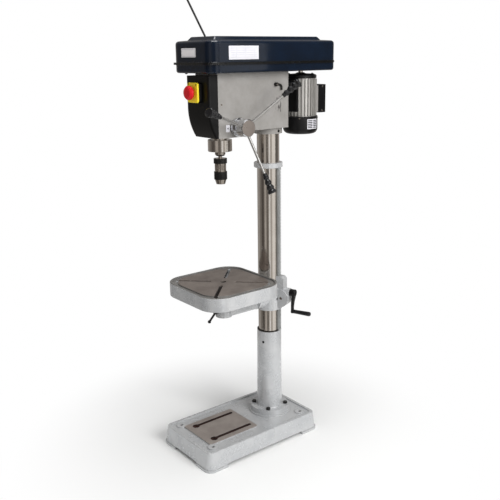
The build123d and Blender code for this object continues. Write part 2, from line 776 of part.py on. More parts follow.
# Table bracket: split sleeve, lift-gear housing, worm boss and the face that the arm tilts on
with BuildPart() as table_bracket:
    rod(level(COLUMN_Y, SLEEVE_LOW), SLEEVE_R, SLEEVE_TOP - SLEEVE_LOW)
    rod(drive_plane(GEAR_X - HOUSING_SHIFT, GEAR_Z).offset(-HOUSING_W / 2), HOUSING_R, HOUSING_W)
    with BuildSketch(drive_plane(0, 0)):
        with BuildLine():
            Polyline(
                (COLUMN_R - GUIDE_SINK, GEAR_Z),
                (GUIDE_REACH, GEAR_Z),
                (GUIDE_REACH, HOUSING_TOP - GUIDE_CHAMFER),
                (GUIDE_REACH - GUIDE_CHAMFER, HOUSING_TOP),
                (COLUMN_R - GUIDE_SINK, HOUSING_TOP),
                close=True,
            )
        make_face()
    extrude(amount=GUIDE_W / 2, both=True)
    rod(radial_plane(COLUMN_R, WORM_Z), WORM_BOSS_R, WORM_BOSS_END - COLUMN_R)
    rod(facing_front(0, COLUMN_Y, TILT_Z), TILT_R, COLUMN_Y - TILT_Y)
    ear_t = CLAMP_SLIT / 2 + CLAMP_EAR_T
    with BuildSketch(facing_front(-CLAMP_X, COLUMN_Y - ear_t, CLAMP_Z)):
        Circle(CLAMP_EAR_H / 2)
        with Locations(((CLAMP_X - COLUMN_R) / 2, 0)):
            Rectangle(CLAMP_X - COLUMN_R, CLAMP_EAR_H)
    extrude(amount=-2 * ear_t)
    rod(level(COLUMN_Y, SLEEVE_LOW), COLUMN_R + RUN, HOUSING_TOP - SLEEVE_LOW, mode=Mode.SUBTRACT)
    rack_room = RACK_TIP + 2 * FREE
    with BuildSketch(drive_plane(rack_room / 2, (SLEEVE_LOW + HOUSING_TOP) / 2)):
        Rectangle(rack_room, HOUSING_TOP - SLEEVE_LOW)
    extrude(amount=RACK_W / 2 + FREE, both=True, mode=Mode.SUBTRACT)
    gear_room = GEAR_PITCH_R + ADDENDUM + 2 * FREE
    rod(drive_plane(GEAR_X, GEAR_Z).offset(-GEAR_W / 2 - FREE), gear_room, GEAR_W + 2 * FREE, Mode.SUBTRACT)
    rod(drive_plane(GEAR_X, GEAR_Z).offset(-HOUSING_W), GEAR_JOURNAL_R + RUN, 2 * HOUSING_W, Mode.SUBTRACT)
    worm_room = WORM_R + ADDENDUM + 2 * FREE
    worm_end = GEAR_X + WORM_L / 2 + 2 * FREE
    rod(radial_plane(rack_room - FREE, WORM_Z), worm_room, worm_end - rack_room + FREE, Mode.SUBTRACT)
    rod(radial_plane(rack_room, WORM_Z), WORM_SHAFT_R + RUN, WORM_BOSS_END - rack_room, Mode.SUBTRACT)
    bolt_room = TILT_BOLT_R + SEAT
    bolt_end = COLUMN_Y - COLUMN_R - TILT_BOLT_WALL
    rod(facing_front(0, bolt_end, TILT_Z), bolt_room, bolt_end - TILT_Y, Mode.SUBTRACT)
    with BuildSketch(level(COLUMN_Y, SLEEVE_LOW)):
        with Locations((-CLAMP_X, 0)):
            Rectangle(CLAMP_X, CLAMP_SLIT)
    extrude(amount=HOUSING_TOP - SLEEVE_LOW, mode=Mode.SUBTRACT)
    ear_back = facing_front(-CLAMP_X, COLUMN_Y + ear_t, CLAMP_Z)
    rod(ear_back, CLAMP_BOLT_R + RUN, 2 * ear_t, mode=Mode.SUBTRACT)

# Lift gear with its journals: driven by the worm above it, it climbs the rack
with BuildPart() as lift_gear:
    gear_side = drive_plane(GEAR_X, GEAR_Z)
    rod(gear_side.offset(-GEAR_W / 2), GEAR_PITCH_R - DEDENDUM, GEAR_W)
    gear_low = gear_side.offset(-GEAR_W / 2)
    gear_teeth(gear_low, GEAR_TEETH, GEAR_PITCH_R - DEDENDUM, GEAR_PITCH_R + ADDENDUM, GEAR_W, 180)
    journal_l = HOUSING_W - 2 * GEAR_JOURNAL_INSET
    rod(gear_side.offset(-journal_l / 2), GEAR_JOURNAL_R, journal_l)

# Worm shaft: single-start worm, thread cut thin so that it clears the straight gear teeth
with BuildPart() as worm_shaft:
    worm_start = GEAR_X - WORM_L / 2
    hub_start = WORM_BOSS_END + FREE
    shaft_depth = CRANK_HUB_L - CRANK_HUB_CAP
    rod(radial_plane(worm_start, WORM_Z), WORM_SHAFT_R, hub_start + shaft_depth - worm_start)
    thread_root = WORM_R - DEDENDUM
    rod(radial_plane(worm_start, WORM_Z), thread_root, WORM_L)
    with BuildLine(mode=Mode.PRIVATE) as thread_path:
        Helix(PITCH, THREAD_TURNS * PITCH, thread_root)
    thread_section = Plane(origin=(thread_root, 0, 0), x_dir=(1, 0, 0), z_dir=(0, 1, 0))
    with BuildSketch(thread_section, mode=Mode.PRIVATE) as thread_profile:
        with BuildLine():
            Polyline(
                (-THREAD_SINK, -THREAD_ROOT_W / 2),
                (ADDENDUM + DEDENDUM, -THREAD_TIP_W / 2),
                (ADDENDUM + DEDENDUM, THREAD_TIP_W / 2),
                (-THREAD_SINK, THREAD_ROOT_W / 2),
                close=True,
            )
        make_face()
    thread = sweep(thread_profile.sketch, path=thread_path.line, is_frenet=True, mode=Mode.PRIVATE)
    add(radial_plane(GEAR_X - THREAD_TURNS / 2 * PITCH, WORM_Z).location * thread)

# Crank: hub, arm and the pin that the handle turns on
with BuildPart() as crank_arm:
    rod(radial_plane(hub_start, WORM_Z), CRANK_HUB_R, CRANK_HUB_L)
    arm_start = hub_start + CRANK_HUB_L - CRANK_ARM_T
    with BuildSketch(radial_plane(arm_start, WORM_Z)):
        with Locations((0, -CRANK_R / 2)):
            Rectangle(CRANK_ARM_W, CRANK_R)
        with Locations((0, -CRANK_R)):
            Circle(CRANK_ARM_W / 2)
    extrude(amount=CRANK_ARM_T)
    pin_start = arm_start + CRANK_ARM_T
    rod(radial_plane(pin_start, WORM_Z - CRANK_R), CRANK_PIN_R, HANDLE_L - HANDLE_CAP)
    rod(radial_plane(hub_start, WORM_Z), WORM_SHAFT_R + SEAT, shaft_depth + FREE, mode=Mode.SUBTRACT)
    fillet(crank_arm.edges().filter_by(GeomType.CIRCLE).sort_by(SortBy.RADIUS)[-1], CRANK_EDGE)

with BuildPart() as crank_handle:
    handle_plane = radial_plane(pin_start + FREE, WORM_Z - CRANK_R)
    rod(handle_plane, HANDLE_R, HANDLE_L)
    fillet(crank_handle.edges().filter_by(GeomType.CIRCLE), HANDLE_EDGE)
    rod(handle_plane, CRANK_PIN_R + RUN, HANDLE_L - HANDLE_CAP, mode=Mode.SUBTRACT)

# Column clamp: bolt through the bracket's ears, with a ball-ended lever at the back
with BuildPart() as column_clamp_lever:
    clamp_back = Plane(origin=(-CLAMP_X, COLUMN_Y + ear_t + FREE, CLAMP_Z), x_dir=(1, 0, 0), z_dir=(0, 1, 0))
    rod(clamp_back.offset(-2 * ear_t - FREE), CLAMP_BOLT_R, 2 * ear_t + FREE)
    rod(clamp_back, CLAMP_HUB_R, CLAMP_HUB_L)
    lever_root = clamp_back.offset(CLAMP_HUB_L / 2).origin
    ball_lever(lever_root, Vector(*CLAMP_LEVER_WAY), CLAMP_ROD_R, CLAMP_LEVER_L, CLAMP_BALL_R)

# Tilt bolt: threaded into the bracket, the arm turns on it
with BuildPart() as tilt_bolt:
    arm_face = TILT_Y - ARM_FLANGE_T
    rod(facing_front(0, bolt_end - FREE, TILT_Z), TILT_BOLT_R, bolt_end - FREE - arm_face)
    with BuildSketch(facing_front(0, arm_face, TILT_Z)):
        RegularPolygon(TILT_BOLT_AF / 2, 6, major_radius=False)
    extrude(amount=TILT_BOLT_HEAD)

# Table arm: tilting flange, beam and the boss that takes the table's stem
with BuildPart() as table_arm:
    with BuildSketch(level(0, ARM_LOW)):
        with Locations((0, (SPINDLE_Y + TILT_Y) / 2)):
            Rectangle(ARM_W, TILT_Y - SPINDLE_Y)
    extrude(amount=ARM_TOP - ARM_LOW)
    fillet(table_arm.edges().filter_by(Axis.Y).group_by(Axis.Z)[0], ARM_EDGE)
    rod(facing_front(0, TILT_Y, TILT_Z), TILT_R, ARM_FLANGE_T)
    rod(level(SPINDLE_Y, ARM_LOW), ARM_BOSS_R, ARM_TOP - ARM_LOW)
    head_room = TILT_BOLT_AF / sqrt(3) + SPANNER_ROOM
    with BuildSketch(level(0, ARM_LOW)):
        with Locations((0, arm_face - TILT_BOLT_HEAD)):
            Rectangle(2 * head_room, 2 * TILT_BOLT_HEAD)
    extrude(amount=TILT_Z + head_room - ARM_LOW, mode=Mode.SUBTRACT)
    rod(facing_front(0, TILT_Y, TILT_Z), TILT_BOLT_R + RUN, ARM_FLANGE_T, mode=Mode.SUBTRACT)
    rod(level(SPINDLE_Y, ARM_LOW), STEM_R + RUN, ARM_TOP - ARM_LOW, mode=Mode.SUBTRACT)
    screw_plane = facing_front(0, SPINDLE_Y, TABLE_SCREW_Z)
    rod(screw_plane, TABLE_SCREW_R + RUN, 2 * ARM_BOSS_R, mode=Mode.SUBTRACT)

# Table: ribbed square plate with trough, crossed slots and a hollow stem
with BuildPart() as table:
    skirt_low = TABLE_TOP - TABLE_SKIRT
    with BuildSketch(level(SPINDLE_Y, TABLE_TOP)):
        RectangleRounded(TABLE_W, TABLE_W, TABLE_CORNER)
    extrude(amount=-TABLE_SKIRT)
    with BuildSketch(level(SPINDLE_Y, skirt_low)):
        RectangleRounded(TABLE_W - 2 * TABLE_WALL, TABLE_W - 2 * TABLE_WALL, TABLE_CORNER - TABLE_WALL)
    extrude(amount=TABLE_SKIRT - TABLE_PLATE, mode=Mode.SUBTRACT)
    plate_low = TABLE_TOP - TABLE_PLATE
    with BuildSketch(level(SPINDLE_Y, plate_low)):
        Rectangle(TABLE_W - TABLE_WALL, TABLE_RIB_T)
        Rectangle(TABLE_RIB_T, TABLE_W - TABLE_WALL)
    extrude(amount=-TABLE_RIB_H)
    rod(level(SPINDLE_Y, ARM_TOP), TABLE_BOSS_R, plate_low - ARM_TOP)
    rod(level(SPINDLE_Y, ARM_LOW + STEM_INSET), STEM_R, ARM_H - STEM_INSET)
    with BuildSketch(level(SPINDLE_Y, TABLE_TOP)):
        trough_w = TABLE_W - 2 * TROUGH_EDGE
        RectangleRounded(trough_w, trough_w, TABLE_CORNER - TROUGH_EDGE)
        inner = trough_w - 2 * TROUGH_W
        RectangleRounded(inner, inner, TABLE_CORNER - TROUGH_EDGE - TROUGH_W, mode=Mode.SUBTRACT)
    extrude(amount=-TROUGH_DEPTH, mode=Mode.SUBTRACT)
    with BuildSketch(level(SPINDLE_Y, TABLE_TOP)):
        slot_l = TABLE_SLOT_END - TABLE_SLOT_START
        with PolarLocations((TABLE_SLOT_START + TABLE_SLOT_END) / 2, 4, start_angle=45):
            SlotOverall(slot_l, TABLE_SLOT_W)
        Circle(STEM_BORE_R)
    extrude(amount=-TABLE_PLATE, mode=Mode.SUBTRACT)
    rod(level(SPINDLE_Y, ARM_LOW), STEM_BORE_R, plate_low - ARM_LOW, mode=Mode.SUBTRACT)

# Table clamp: screw in the arm's boss with a lever across its head
with BuildPart() as table_clamp_lever:
    screw_tip = STEM_R + TABLE_SCREW_GAP
    hub_face = ARM_BOSS_R + FREE
    rod(screw_plane.offset(screw_tip), TABLE_SCREW_R, hub_face - screw_tip)
    rod(screw_plane.offset(hub_face), TABLE_HUB_R, CLAMP_HUB_L)
    clamp_root = screw_plane.offset(hub_face + CLAMP_HUB_L / 2).origin
    ball_lever(clamp_root, Vector(*TABLE_LEVER_WAY), CLAMP_ROD_R, TABLE_LEVER_L, TABLE_BALL_R)

# Head casting: column socket, quill barrel and the hollow between them
with BuildPart() as head_casting:
    with BuildSketch(Plane.YZ):
        with BuildLine():
            Polyline(
                (HEAD_FRONT, HEAD_LOW),
                (HEAD_STEP_FRONT, HEAD_LOW),
                (HEAD_STEP_BACK, HEAD_HIGH),
                (HEAD_BACK, HEAD_HIGH),
                (HEAD_BACK, HEAD_TOP),
                (HEAD_FRONT, HEAD_TOP),
                close=True,
            )
        make_face()
    extrude(amount=HEAD_SIDE, both=True)
    fillet(head_casting.edges().filter_by(Axis.Z).group_by(Axis.Y)[-1], HEAD_EDGE)
    fillet(head_casting.faces().sort_by(Axis.Z)[-1].edges().filter_by(Axis.Y), HEAD_EDGE / 2)
    rod(level(COLUMN_Y, COLLAR_LOW), COLLAR_R, HEAD_HIGH - COLLAR_LOW)
    with BuildSketch(Plane.XY.offset(HEAD_TOP)):
        with Locations((0, (HEAD_FRONT + HEAD_BACK) / 2)):
            with GridLocations(2 * PAD_X, HEAD_BACK - HEAD_FRONT - 2 * PAD_INSET, 2, 2):
                Circle(PAD_R)
    extrude(amount=TRAY_LOW - HEAD_TOP)
    rod(level(COLUMN_Y, COLLAR_LOW), COLUMN_R + SEAT, COLUMN_TOP - COLLAR_LOW, mode=Mode.SUBTRACT)
    with BuildSketch(Plane.XY.offset(CAVITY_LOW)):
        with Locations((0, (CAVITY_FRONT + CAVITY_BACK) / 2)):
            Rectangle(CAVITY_W, CAVITY_BACK - CAVITY_FRONT)
    extrude(amount=CAVITY_TOP - CAVITY_LOW, mode=Mode.SUBTRACT)
    bearing_seat = HEAD_TOP - 2 * TOP_BEARING_H - 4 * BEARING_GAP
    rod(level(SPINDLE_Y, HEAD_LOW), QUILL_R + RUN, bearing_seat - HEAD_LOW, mode=Mode.SUBTRACT)
    rod(level(SPINDLE_Y, bearing_seat), TOP_BEARING_R + SEAT, HEAD_TOP - bearing_seat, mode=Mode.SUBTRACT)
    rod(across(-HEAD_SIDE, FEED_Y, FEED_Z), FEED_SHAFT_R + RUN, HEAD_W, mode=Mode.SUBTRACT)
    rod(level(IDLER_Y, HEAD_TOP), POST_R + SEAT, -POST_DEPTH, mode=Mode.SUBTRACT)
    with BuildSketch(Plane(origin=(0, HEAD_BACK, BAR_Z), x_dir=(1, 0, 0), z_dir=(0, -1, 0))):
        with GridLocations(2 * BAR_X, 0, 2, 1):
            Circle(BAR_R + RUN)
    extrude(amount=HEAD_BACK - BAR_FRONT + MOTOR_TRAVEL + FREE, mode=Mode.SUBTRACT)
    rod(across(BAR_X, LOCK_Y, BAR_Z), LOCK_SCREW_R + RUN, HEAD_SIDE - BAR_X, mode=Mode.SUBTRACT)



def cover_block(inset):
    """The front cover's form, smaller by this much on every side, with its front edges rounded."""
    front = COVER_FRONT + inset
    chin = (COVER_CHIN_FRONT + inset, HEAD_LOW + inset)
    with BuildSketch(Plane.YZ.offset(inset - HEAD_SIDE)) as profile:
        with BuildLine():
            Polyline(
                chin,
                (HEAD_FRONT + inset, HEAD_LOW + inset),
                (HEAD_FRONT + inset, HEAD_TOP - inset),
                (front, HEAD_TOP - inset),
                (front, COVER_CURVE_Z),
            )
            TangentArc((front, COVER_CURVE_Z), chin, tangent=(0, -1))
        make_face()
    extrude(profile.sketch, amount=2 * (HEAD_SIDE - inset))
    sides = faces().filter_by(Axis.X)
    fillet([line for side in sides for line in side.edges().sort_by(Axis.Y)[:2]], COVER_EDGE - inset)


# Front cover: moulded shell over the head's front, open at the back, sloping in to its chin
with BuildPart() as cover_room:
    cover_block(COVER_WALL)

with BuildPart() as front_cover:
    cover_block(0)
    add(cover_room.part, mode=Mode.SUBTRACT)

# Switch: box, hinged flap with the stop button, start button under the flap
with BuildPart() as switch_box:
    box_face = facing_front(SWITCH_X, COVER_FRONT, SWITCH_Z)
    slab(box_face, SWITCH_W, SWITCH_H, SWITCH_T, SWITCH_CORNER)
    lug_out = (SWITCH_W + FLAP_BARREL_L) / 4
    with BuildSketch(facing_front(SWITCH_X, SWITCH_FACE, FLAP_HINGE_Z)):
        with GridLocations(2 * lug_out, 0, 2, 1):
            Rectangle(FLAP_LUG_W, 2 * FLAP_BARREL_R)
    extrude(amount=FREE + FLAP_T / 2 + FLAP_PIN_R)
    pin_room = across(SWITCH_X - lug_out, FLAP_HINGE_Y, FLAP_HINGE_Z)
    rod(pin_room, FLAP_PIN_R, 2 * lug_out)
    start_x = SWITCH_X - SWITCH_W / 5
    start_z = SWITCH_Z - SWITCH_H / 4
    start_floor = COVER_FRONT - START_FLOOR
    rod(facing_front(start_x, start_floor, start_z), START_R + RUN, SWITCH_T, mode=Mode.SUBTRACT)

with BuildPart() as start_button:
    start_back = start_floor - START_TRAVEL - FREE
    rod(facing_front(start_x, start_back, start_z), START_R, SWITCH_T - START_FLOOR)
    chamfer(start_button.faces().sort_by(Axis.Y)[0].edges(), START_EDGE)

with BuildPart() as switch_flap:
    slab(facing_front(SWITCH_X, FLAP_BACK, SWITCH_Z), SWITCH_W, SWITCH_H, FLAP_T, SWITCH_CORNER)
    fillet(switch_flap.faces().sort_by(Axis.Y)[0].edges(), FLAP_EDGE)
    chamfer(switch_flap.faces().sort_by(Axis.Y)[-1].edges(), FLAP_EDGE)
    recess_w = SWITCH_W - 2 * FLAP_WALL
    recess_h = SWITCH_H - 2 * FLAP_WALL - 2 * FLAP_BARREL_R
    slab(
        facing_front(SWITCH_X, FLAP_BACK, SWITCH_Z - FLAP_BARREL_R), recess_w, recess_h, FLAP_T - FLAP_WALL,
        SWITCH_CORNER / 2, Mode.SUBTRACT,
    )
    with BuildSketch(facing_front(SWITCH_X, FLAP_BACK, FLAP_HINGE_Z)):
        with GridLocations(2 * lug_out, 0, 2, 1):
            Rectangle(FLAP_LUG_W + 2 * FREE, 4 * FLAP_BARREL_R)
    extrude(amount=FLAP_T, mode=Mode.SUBTRACT)
    flap_axis = across(SWITCH_X - SWITCH_W, FLAP_HINGE_Y, FLAP_HINGE_Z)
    rod(flap_axis, FLAP_PIN_R + RUN, 2 * SWITCH_W, Mode.SUBTRACT)
    rod(facing_front(SWITCH_X, FLAP_BACK, SWITCH_Z), STOP_STEM_R + RUN, FLAP_T, Mode.SUBTRACT)

with BuildPart() as stop_button:
    stem_back = FLAP_BACK - STOP_TRAVEL
    head_back = FLAP_FACE - STOP_STEM_L + STOP_TRAVEL
    dome = [(out * STOP_R, -head_back + up * STOP_T) for out, up in STOP_DOME]
    lathe(
        [
            (0, -stem_back),
            (STOP_STEM_R, -stem_back),
            (STOP_STEM_R, -head_back),
            (STOP_R - STOP_BEVEL_W, -head_back),
            (STOP_R, -head_back + STOP_BEVEL_H),
            *dome,
            (0, -head_back + STOP_T),
        ],
        Plane(origin=(SWITCH_X, 0, SWITCH_Z), x_dir=(1, 0, 0), z_dir=(0, 0, -1)),
        Axis((SWITCH_X, 0, SWITCH_Z), (0, 1, 0)),
    )

# Quill: ground sleeve with rack teeth at the back and a large polished nose
with BuildPart() as quill:
    rod(level(SPINDLE_Y, QUILL_LOW), QUILL_R, QUILL_TOP - QUILL_LOW)
    rod(level(SPINDLE_Y, QUILL_LOW), NOSE_R, NOSE_H)
    chamfer(quill.edges().filter_by(GeomType.CIRCLE).sort_by(SortBy.RADIUS)[-2:], NOSE_EDGE)
    flat_low = QUILL_RACK_LOW - QUILL_FLAT_RUNOUT
    with BuildSketch(level(SPINDLE_Y, flat_low)):
        with Locations((0, QUILL_FLAT + QUILL_R / 2)):
            Rectangle(2 * QUILL_R, QUILL_R)
    extrude(amount=QUILL_TOP - flat_low, mode=Mode.SUBTRACT)
    rod(level(SPINDLE_Y, QUILL_LOW), QUILL_BORE_R, QUILL_TOP - QUILL_LOW, mode=Mode.SUBTRACT)
    rod(level(SPINDLE_Y, QUILL_LOW), BEARING_R, BEARING_H + BEARING_GAP, mode=Mode.SUBTRACT)
    rod(level(SPINDLE_Y, QUILL_TOP), BEARING_R, -BEARING_H - BEARING_GAP, mode=Mode.SUBTRACT)
    quill_below = int((FEED_Z - QUILL_RACK_LOW) / PITCH)
    quill_above = int((QUILL_RACK_TOP - FEED_Z) / PITCH)
    quill_middle = FEED_Z + (quill_above - quill_below) * PITCH / 2
    quill_rack = Plane(origin=(0, SPINDLE_Y + QUILL_FLAT, quill_middle), x_dir=(0, 1, 0), z_dir=(1, 0, 0))
    tooth_spaces(quill_rack, quill_above + quill_below + 1, QUILL_R)

with BuildPart() as quill_bearings:
    ring(level(SPINDLE_Y, QUILL_LOW + BEARING_GAP), BEARING_R - SEAT, SPINDLE_R + RUN, BEARING_H)
    ring(level(SPINDLE_Y, QUILL_TOP - BEARING_GAP), BEARING_R - SEAT, SPINDLE_R + RUN, -BEARING_H)

# Spindle: nose with a taper socket below, keyed drive end above
with BuildPart() as spindle:
    lathe(
        [
            (0, SPINDLE_LOW),
            (SPINDLE_NOSE_R - SPINDLE_BEVEL_W, SPINDLE_LOW),
            (SPINDLE_NOSE_R, SPINDLE_LOW + SPINDLE_BEVEL_H),
            (SPINDLE_NOSE_R, QUILL_LOW - FREE),
            (SPINDLE_R, QUILL_LOW - FREE),
            (SPINDLE_R, QUILL_TOP),
            (SPLINE_R, QUILL_TOP),
            (SPLINE_R, SPINDLE_TOP),
            (0, SPINDLE_TOP),
        ],
        upright(SPINDLE_Y),
        SPINDLE_AXIS,
    )
    with BuildSketch(level(SPINDLE_Y, QUILL_TOP + KEY_START)):
        Rectangle(2 * KEY_R, KEY_W)
    extrude(amount=SPINDLE_TOP - QUILL_TOP - KEY_START)
    socket_top = SPINDLE_LOW + ARBOR_TAPER_L
    lathe(
        [
            (0, SPINDLE_LOW),
            (ARBOR_TAPER_R + SEAT, SPINDLE_LOW),
            (ARBOR_TAPER_R - ARBOR_TAPER + SEAT, socket_top),
            (0, socket_top),
        ],
        upright(SPINDLE_Y),
        SPINDLE_AXIS,
        Mode.SUBTRACT,
    )

with BuildPart() as chuck_arbor:
    seat_low = CHUCK_TOP - ARBOR_SEAT_L
    lathe(
        [
            (0, seat_low),
            (ARBOR_R - ARBOR_SEAT_TAPER, seat_low),
            (ARBOR_R, CHUCK_TOP),
            (ARBOR_R, SPINDLE_LOW),
            (ARBOR_TAPER_R, SPINDLE_LOW),
            (ARBOR_TAPER_R - ARBOR_TAPER, socket_top),
            (0, socket_top),
        ],
        upright(SPINDLE_Y),
        SPINDLE_AXIS,
    )


def jaw_plane(index):
    """The plane at one chuck jaw's tip, with the jaw's own slanted line along its normal."""
    angle = radians(index * 120 + JAW_START_ANGLE)
    out = Vector(cos(angle), sin(angle), 0)
    tilt = radians(JAW_TILT)
    tip = Vector(0, SPINDLE_Y, CHUCK_LOW - JAW_OVER) + out * (JAW_GAP + JAW_R / 2)
    slant = out * sin(tilt) + Vector(0, 0, cos(tilt))
    return Plane(origin=tip, x_dir=Vector(-sin(angle), cos(angle), 0), z_dir=slant)


# Keyless chuck: back ring, fluted body, turning sleeve and three jaws in slanted bores
with BuildPart() as chuck_body:
    lathe(
        [
            (0, CHUCK_LOW),
            (CHUCK_TIP_R, CHUCK_LOW),
            (CHUCK_BODY_R, CHUCK_SLEEVE_LOW - CHUCK_LAND),
            (CHUCK_BODY_R, CHUCK_SLEEVE_LOW),
            (CHUCK_CORE_R, CHUCK_SLEEVE_LOW),
            (CHUCK_CORE_R, CHUCK_NECK_LOW),
            (CHUCK_BODY_R, CHUCK_NECK_LOW),
            (CHUCK_BODY_R, CHUCK_TOP - CHUCK_RING_H),
            (CHUCK_CORE_R, CHUCK_TOP - CHUCK_RING_H),
            (CHUCK_CORE_R, CHUCK_TOP),
            (0, CHUCK_TOP),
        ],
        upright(SPINDLE_Y),
        SPINDLE_AXIS,
    )
    with BuildSketch(level(SPINDLE_Y, CHUCK_NECK_LOW + FLUTE_INSET)):
        with PolarLocations(CHUCK_BODY_R + FLUTE_OUT, CHUCK_FLUTES):
            Circle(FLUTE_R)
    extrude(amount=CHUCK_NECK_H - 2 * FLUTE_INSET, mode=Mode.SUBTRACT)
    lathe(
        [
            (0, seat_low),
            (ARBOR_R - ARBOR_SEAT_TAPER + SEAT, seat_low),
            (ARBOR_R + SEAT, CHUCK_TOP),
            (0, CHUCK_TOP),
        ],
        upright(SPINDLE_Y),
        SPINDLE_AXIS,
        Mode.SUBTRACT,
    )
    for index in range(3):
        jaw_room = JAW_R + JAW_L + JAW_TRAVEL + JAW_END_GAP
        rod(jaw_plane(index).offset(-JAW_R), JAW_R + SEAT, jaw_room, mode=Mode.SUBTRACT)

with BuildPart() as chuck_ring:
    ring(level(SPINDLE_Y, CHUCK_TOP - CHUCK_RING_H), CHUCK_RING_R, CHUCK_CORE_R + SEAT, CHUCK_RING_H)
    with BuildSketch(level(SPINDLE_Y, CHUCK_TOP - CHUCK_RING_H)):
        with PolarLocations(CHUCK_RING_R + KNURL_OUT, CHUCK_KNURLS):
            Circle(KNURL_R)
    extrude(amount=CHUCK_RING_H, mode=Mode.SUBTRACT)

with BuildPart() as chuck_sleeve:
    sleeve_plane = level(SPINDLE_Y, CHUCK_SLEEVE_LOW + FREE)
    ring(sleeve_plane, CHUCK_SLEEVE_R, CHUCK_CORE_R + RUN, CHUCK_SLEEVE_H - 2 * FREE)
    with BuildSketch(sleeve_plane):
        with PolarLocations(CHUCK_SLEEVE_R + KNURL_OUT, CHUCK_KNURLS):
            Circle(KNURL_R)
    extrude(amount=CHUCK_SLEEVE_H - 2 * FREE, mode=Mode.SUBTRACT)

chuck_jaws = []
for index in range(3):
    with BuildPart() as chuck_jaw:
        rod(jaw_plane(index), JAW_R, JAW_L)
        for side in (-JAW_WEDGE, JAW_WEDGE):
            angle = radians(index * 120 + JAW_START_ANGLE + side)
            away = Vector(cos(angle), sin(angle), 0)
            wedge_face = Plane(origin=Vector(0, SPINDLE_Y, 0) + away * JAW_GAP / 2, z_dir=away)
            split(bisect_by=wedge_face, keep=Keep.TOP)
        split(bisect_by=Plane.XY.offset(CHUCK_LOW), keep=Keep.TOP)
    chuck_jaws.append(chuck_jaw)

# Feed shaft: pinion teeth cut into it, stub for the return spring, neck for the hub
with BuildPart() as feed_shaft:
    rod(across(-HEAD_SIDE, FEED_Y, FEED_Z), FEED_SHAFT_R, HEAD_W)
    pinion_side = across(-PINION_W / 2, FEED_Y, FEED_Z)
    pinion_r = PINION_TEETH * MODULE / 2
    ring(pinion_side, FEED_SHAFT_R + FREE, pinion_r - DEDENDUM, PINION_W, Mode.SUBTRACT)
    gear_teeth(pinion_side, PINION_TEETH, pinion_r - DEDENDUM, pinion_r + ADDENDUM, PINION_W, 180)
    rod(across(HEAD_SIDE, FEED_Y, FEED_Z), FEED_NECK_R, HUB_END - HEAD_SIDE - HUB_CAP)
    rod(across(-HEAD_SIDE, FEED_Y, FEED_Z), FEED_STUB_R, -SPRING_CUP_L - FEED_STUB_OVER)

with BuildPart() as depth_ring:
    ring(across(HEAD_SIDE + FREE, FEED_Y, FEED_Z), DEPTH_RING_R, FEED_NECK_R + SEAT, DEPTH_RING_W)
    chamfer(depth_ring.edges().filter_by(GeomType.CIRCLE).sort_by(SortBy.RADIUS)[-2:], RING_EDGE)

with BuildPart() as feed_hub:
    hub_back = HEAD_SIDE + FREE + DEPTH_RING_W
    lathe(
        [
            (hub_back, 0),
            (hub_back, HUB_WAIST_R),
            (hub_back + HUB_WAIST_L, HUB_WAIST_R),
            (hub_back + HUB_WAIST_L + HUB_RISE, HUB_R),
            (HUB_END - HUB_EDGE, HUB_R),
            (HUB_END, HUB_R - HUB_EDGE),
            (HUB_END, 0),
        ],
        FEED_PLANE,
        FEED_AXIS,
    )
    neck_depth = HUB_END - HUB_CAP - hub_back
    rod(across(hub_back, FEED_Y, FEED_Z), FEED_NECK_R + SEAT, neck_depth + FREE, mode=Mode.SUBTRACT)
    for index in range(3):
        rod(lever_plane(index).offset(LEVER_SOCKET - FREE), LEVER_R + SEAT, HUB_R, mode=Mode.SUBTRACT)

with BuildPart() as feed_levers:
    for index in range(3):
        rod(lever_plane(index).offset(LEVER_SOCKET), LEVER_R, LEVER_L - LEVER_SOCKET)

with BuildPart() as feed_grips:
    grip_l = GRIP_END - GRIP_START
    rib_l = GRIP_RIBBED * grip_l / GRIP_RIBS
    with BuildSketch(Plane.XZ, mode=Mode.PRIVATE) as grip_section:
        with BuildLine():
            outline = [(0, 0), (GRIP_NECK_R, 0)]
            for rib in range(GRIP_RIBS):
                share = (rib + 1) / (GRIP_RIBS + 1)
                radius = GRIP_NECK_R + GRIP_RIB_RISE * (GRIP_END_R - GRIP_NECK_R) * share
                low = GRIP_RIB_START + rib * rib_l
                outline += [
                    (radius - GRIP_RIB_DEPTH, low),
                    (radius, low + rib_l / 4),
                    (radius, low + 3 * rib_l / 4),
                ]
            outline += [(out * GRIP_END_R, up * grip_l) for out, up in GRIP_FLARE]
            outline += [(GRIP_END_R - GRIP_EDGE, grip_l), (0, grip_l)]
            Polyline(*outline, close=True)
        make_face()
    grip_solid = revolve(grip_section.sketch, axis=Axis.Z, mode=Mode.PRIVATE)
    for index in range(3):
        add(lever_plane(index).offset(GRIP_START).location * grip_solid)
    for index in range(3):
        grip_plane = lever_plane(index).offset(GRIP_START)
        rod(grip_plane, LEVER_R + SEAT, LEVER_L - GRIP_START + FREE, mode=Mode.SUBTRACT)

# Return spring: flat spiral in a cup on the head's left side
with BuildPart() as spring_housing:
    cup_plane = across(-HEAD_SIDE, FEED_Y, FEED_Z)
    rod(cup_plane, SPRING_CUP_R, -SPRING_CUP_L)
    fillet(spring_housing.faces().sort_by(Axis.X)[0].edges(), SPRING_CUP_EDGE)
    rod(cup_plane, SPRING_CUP_R - SPRING_CUP_WALL, -SPRING_CUP_L + SPRING_CUP_WALL, mode=Mode.SUBTRACT)
    rod(cup_plane, FEED_STUB_R + FREE, -SPRING_CUP_L, mode=Mode.SUBTRACT)

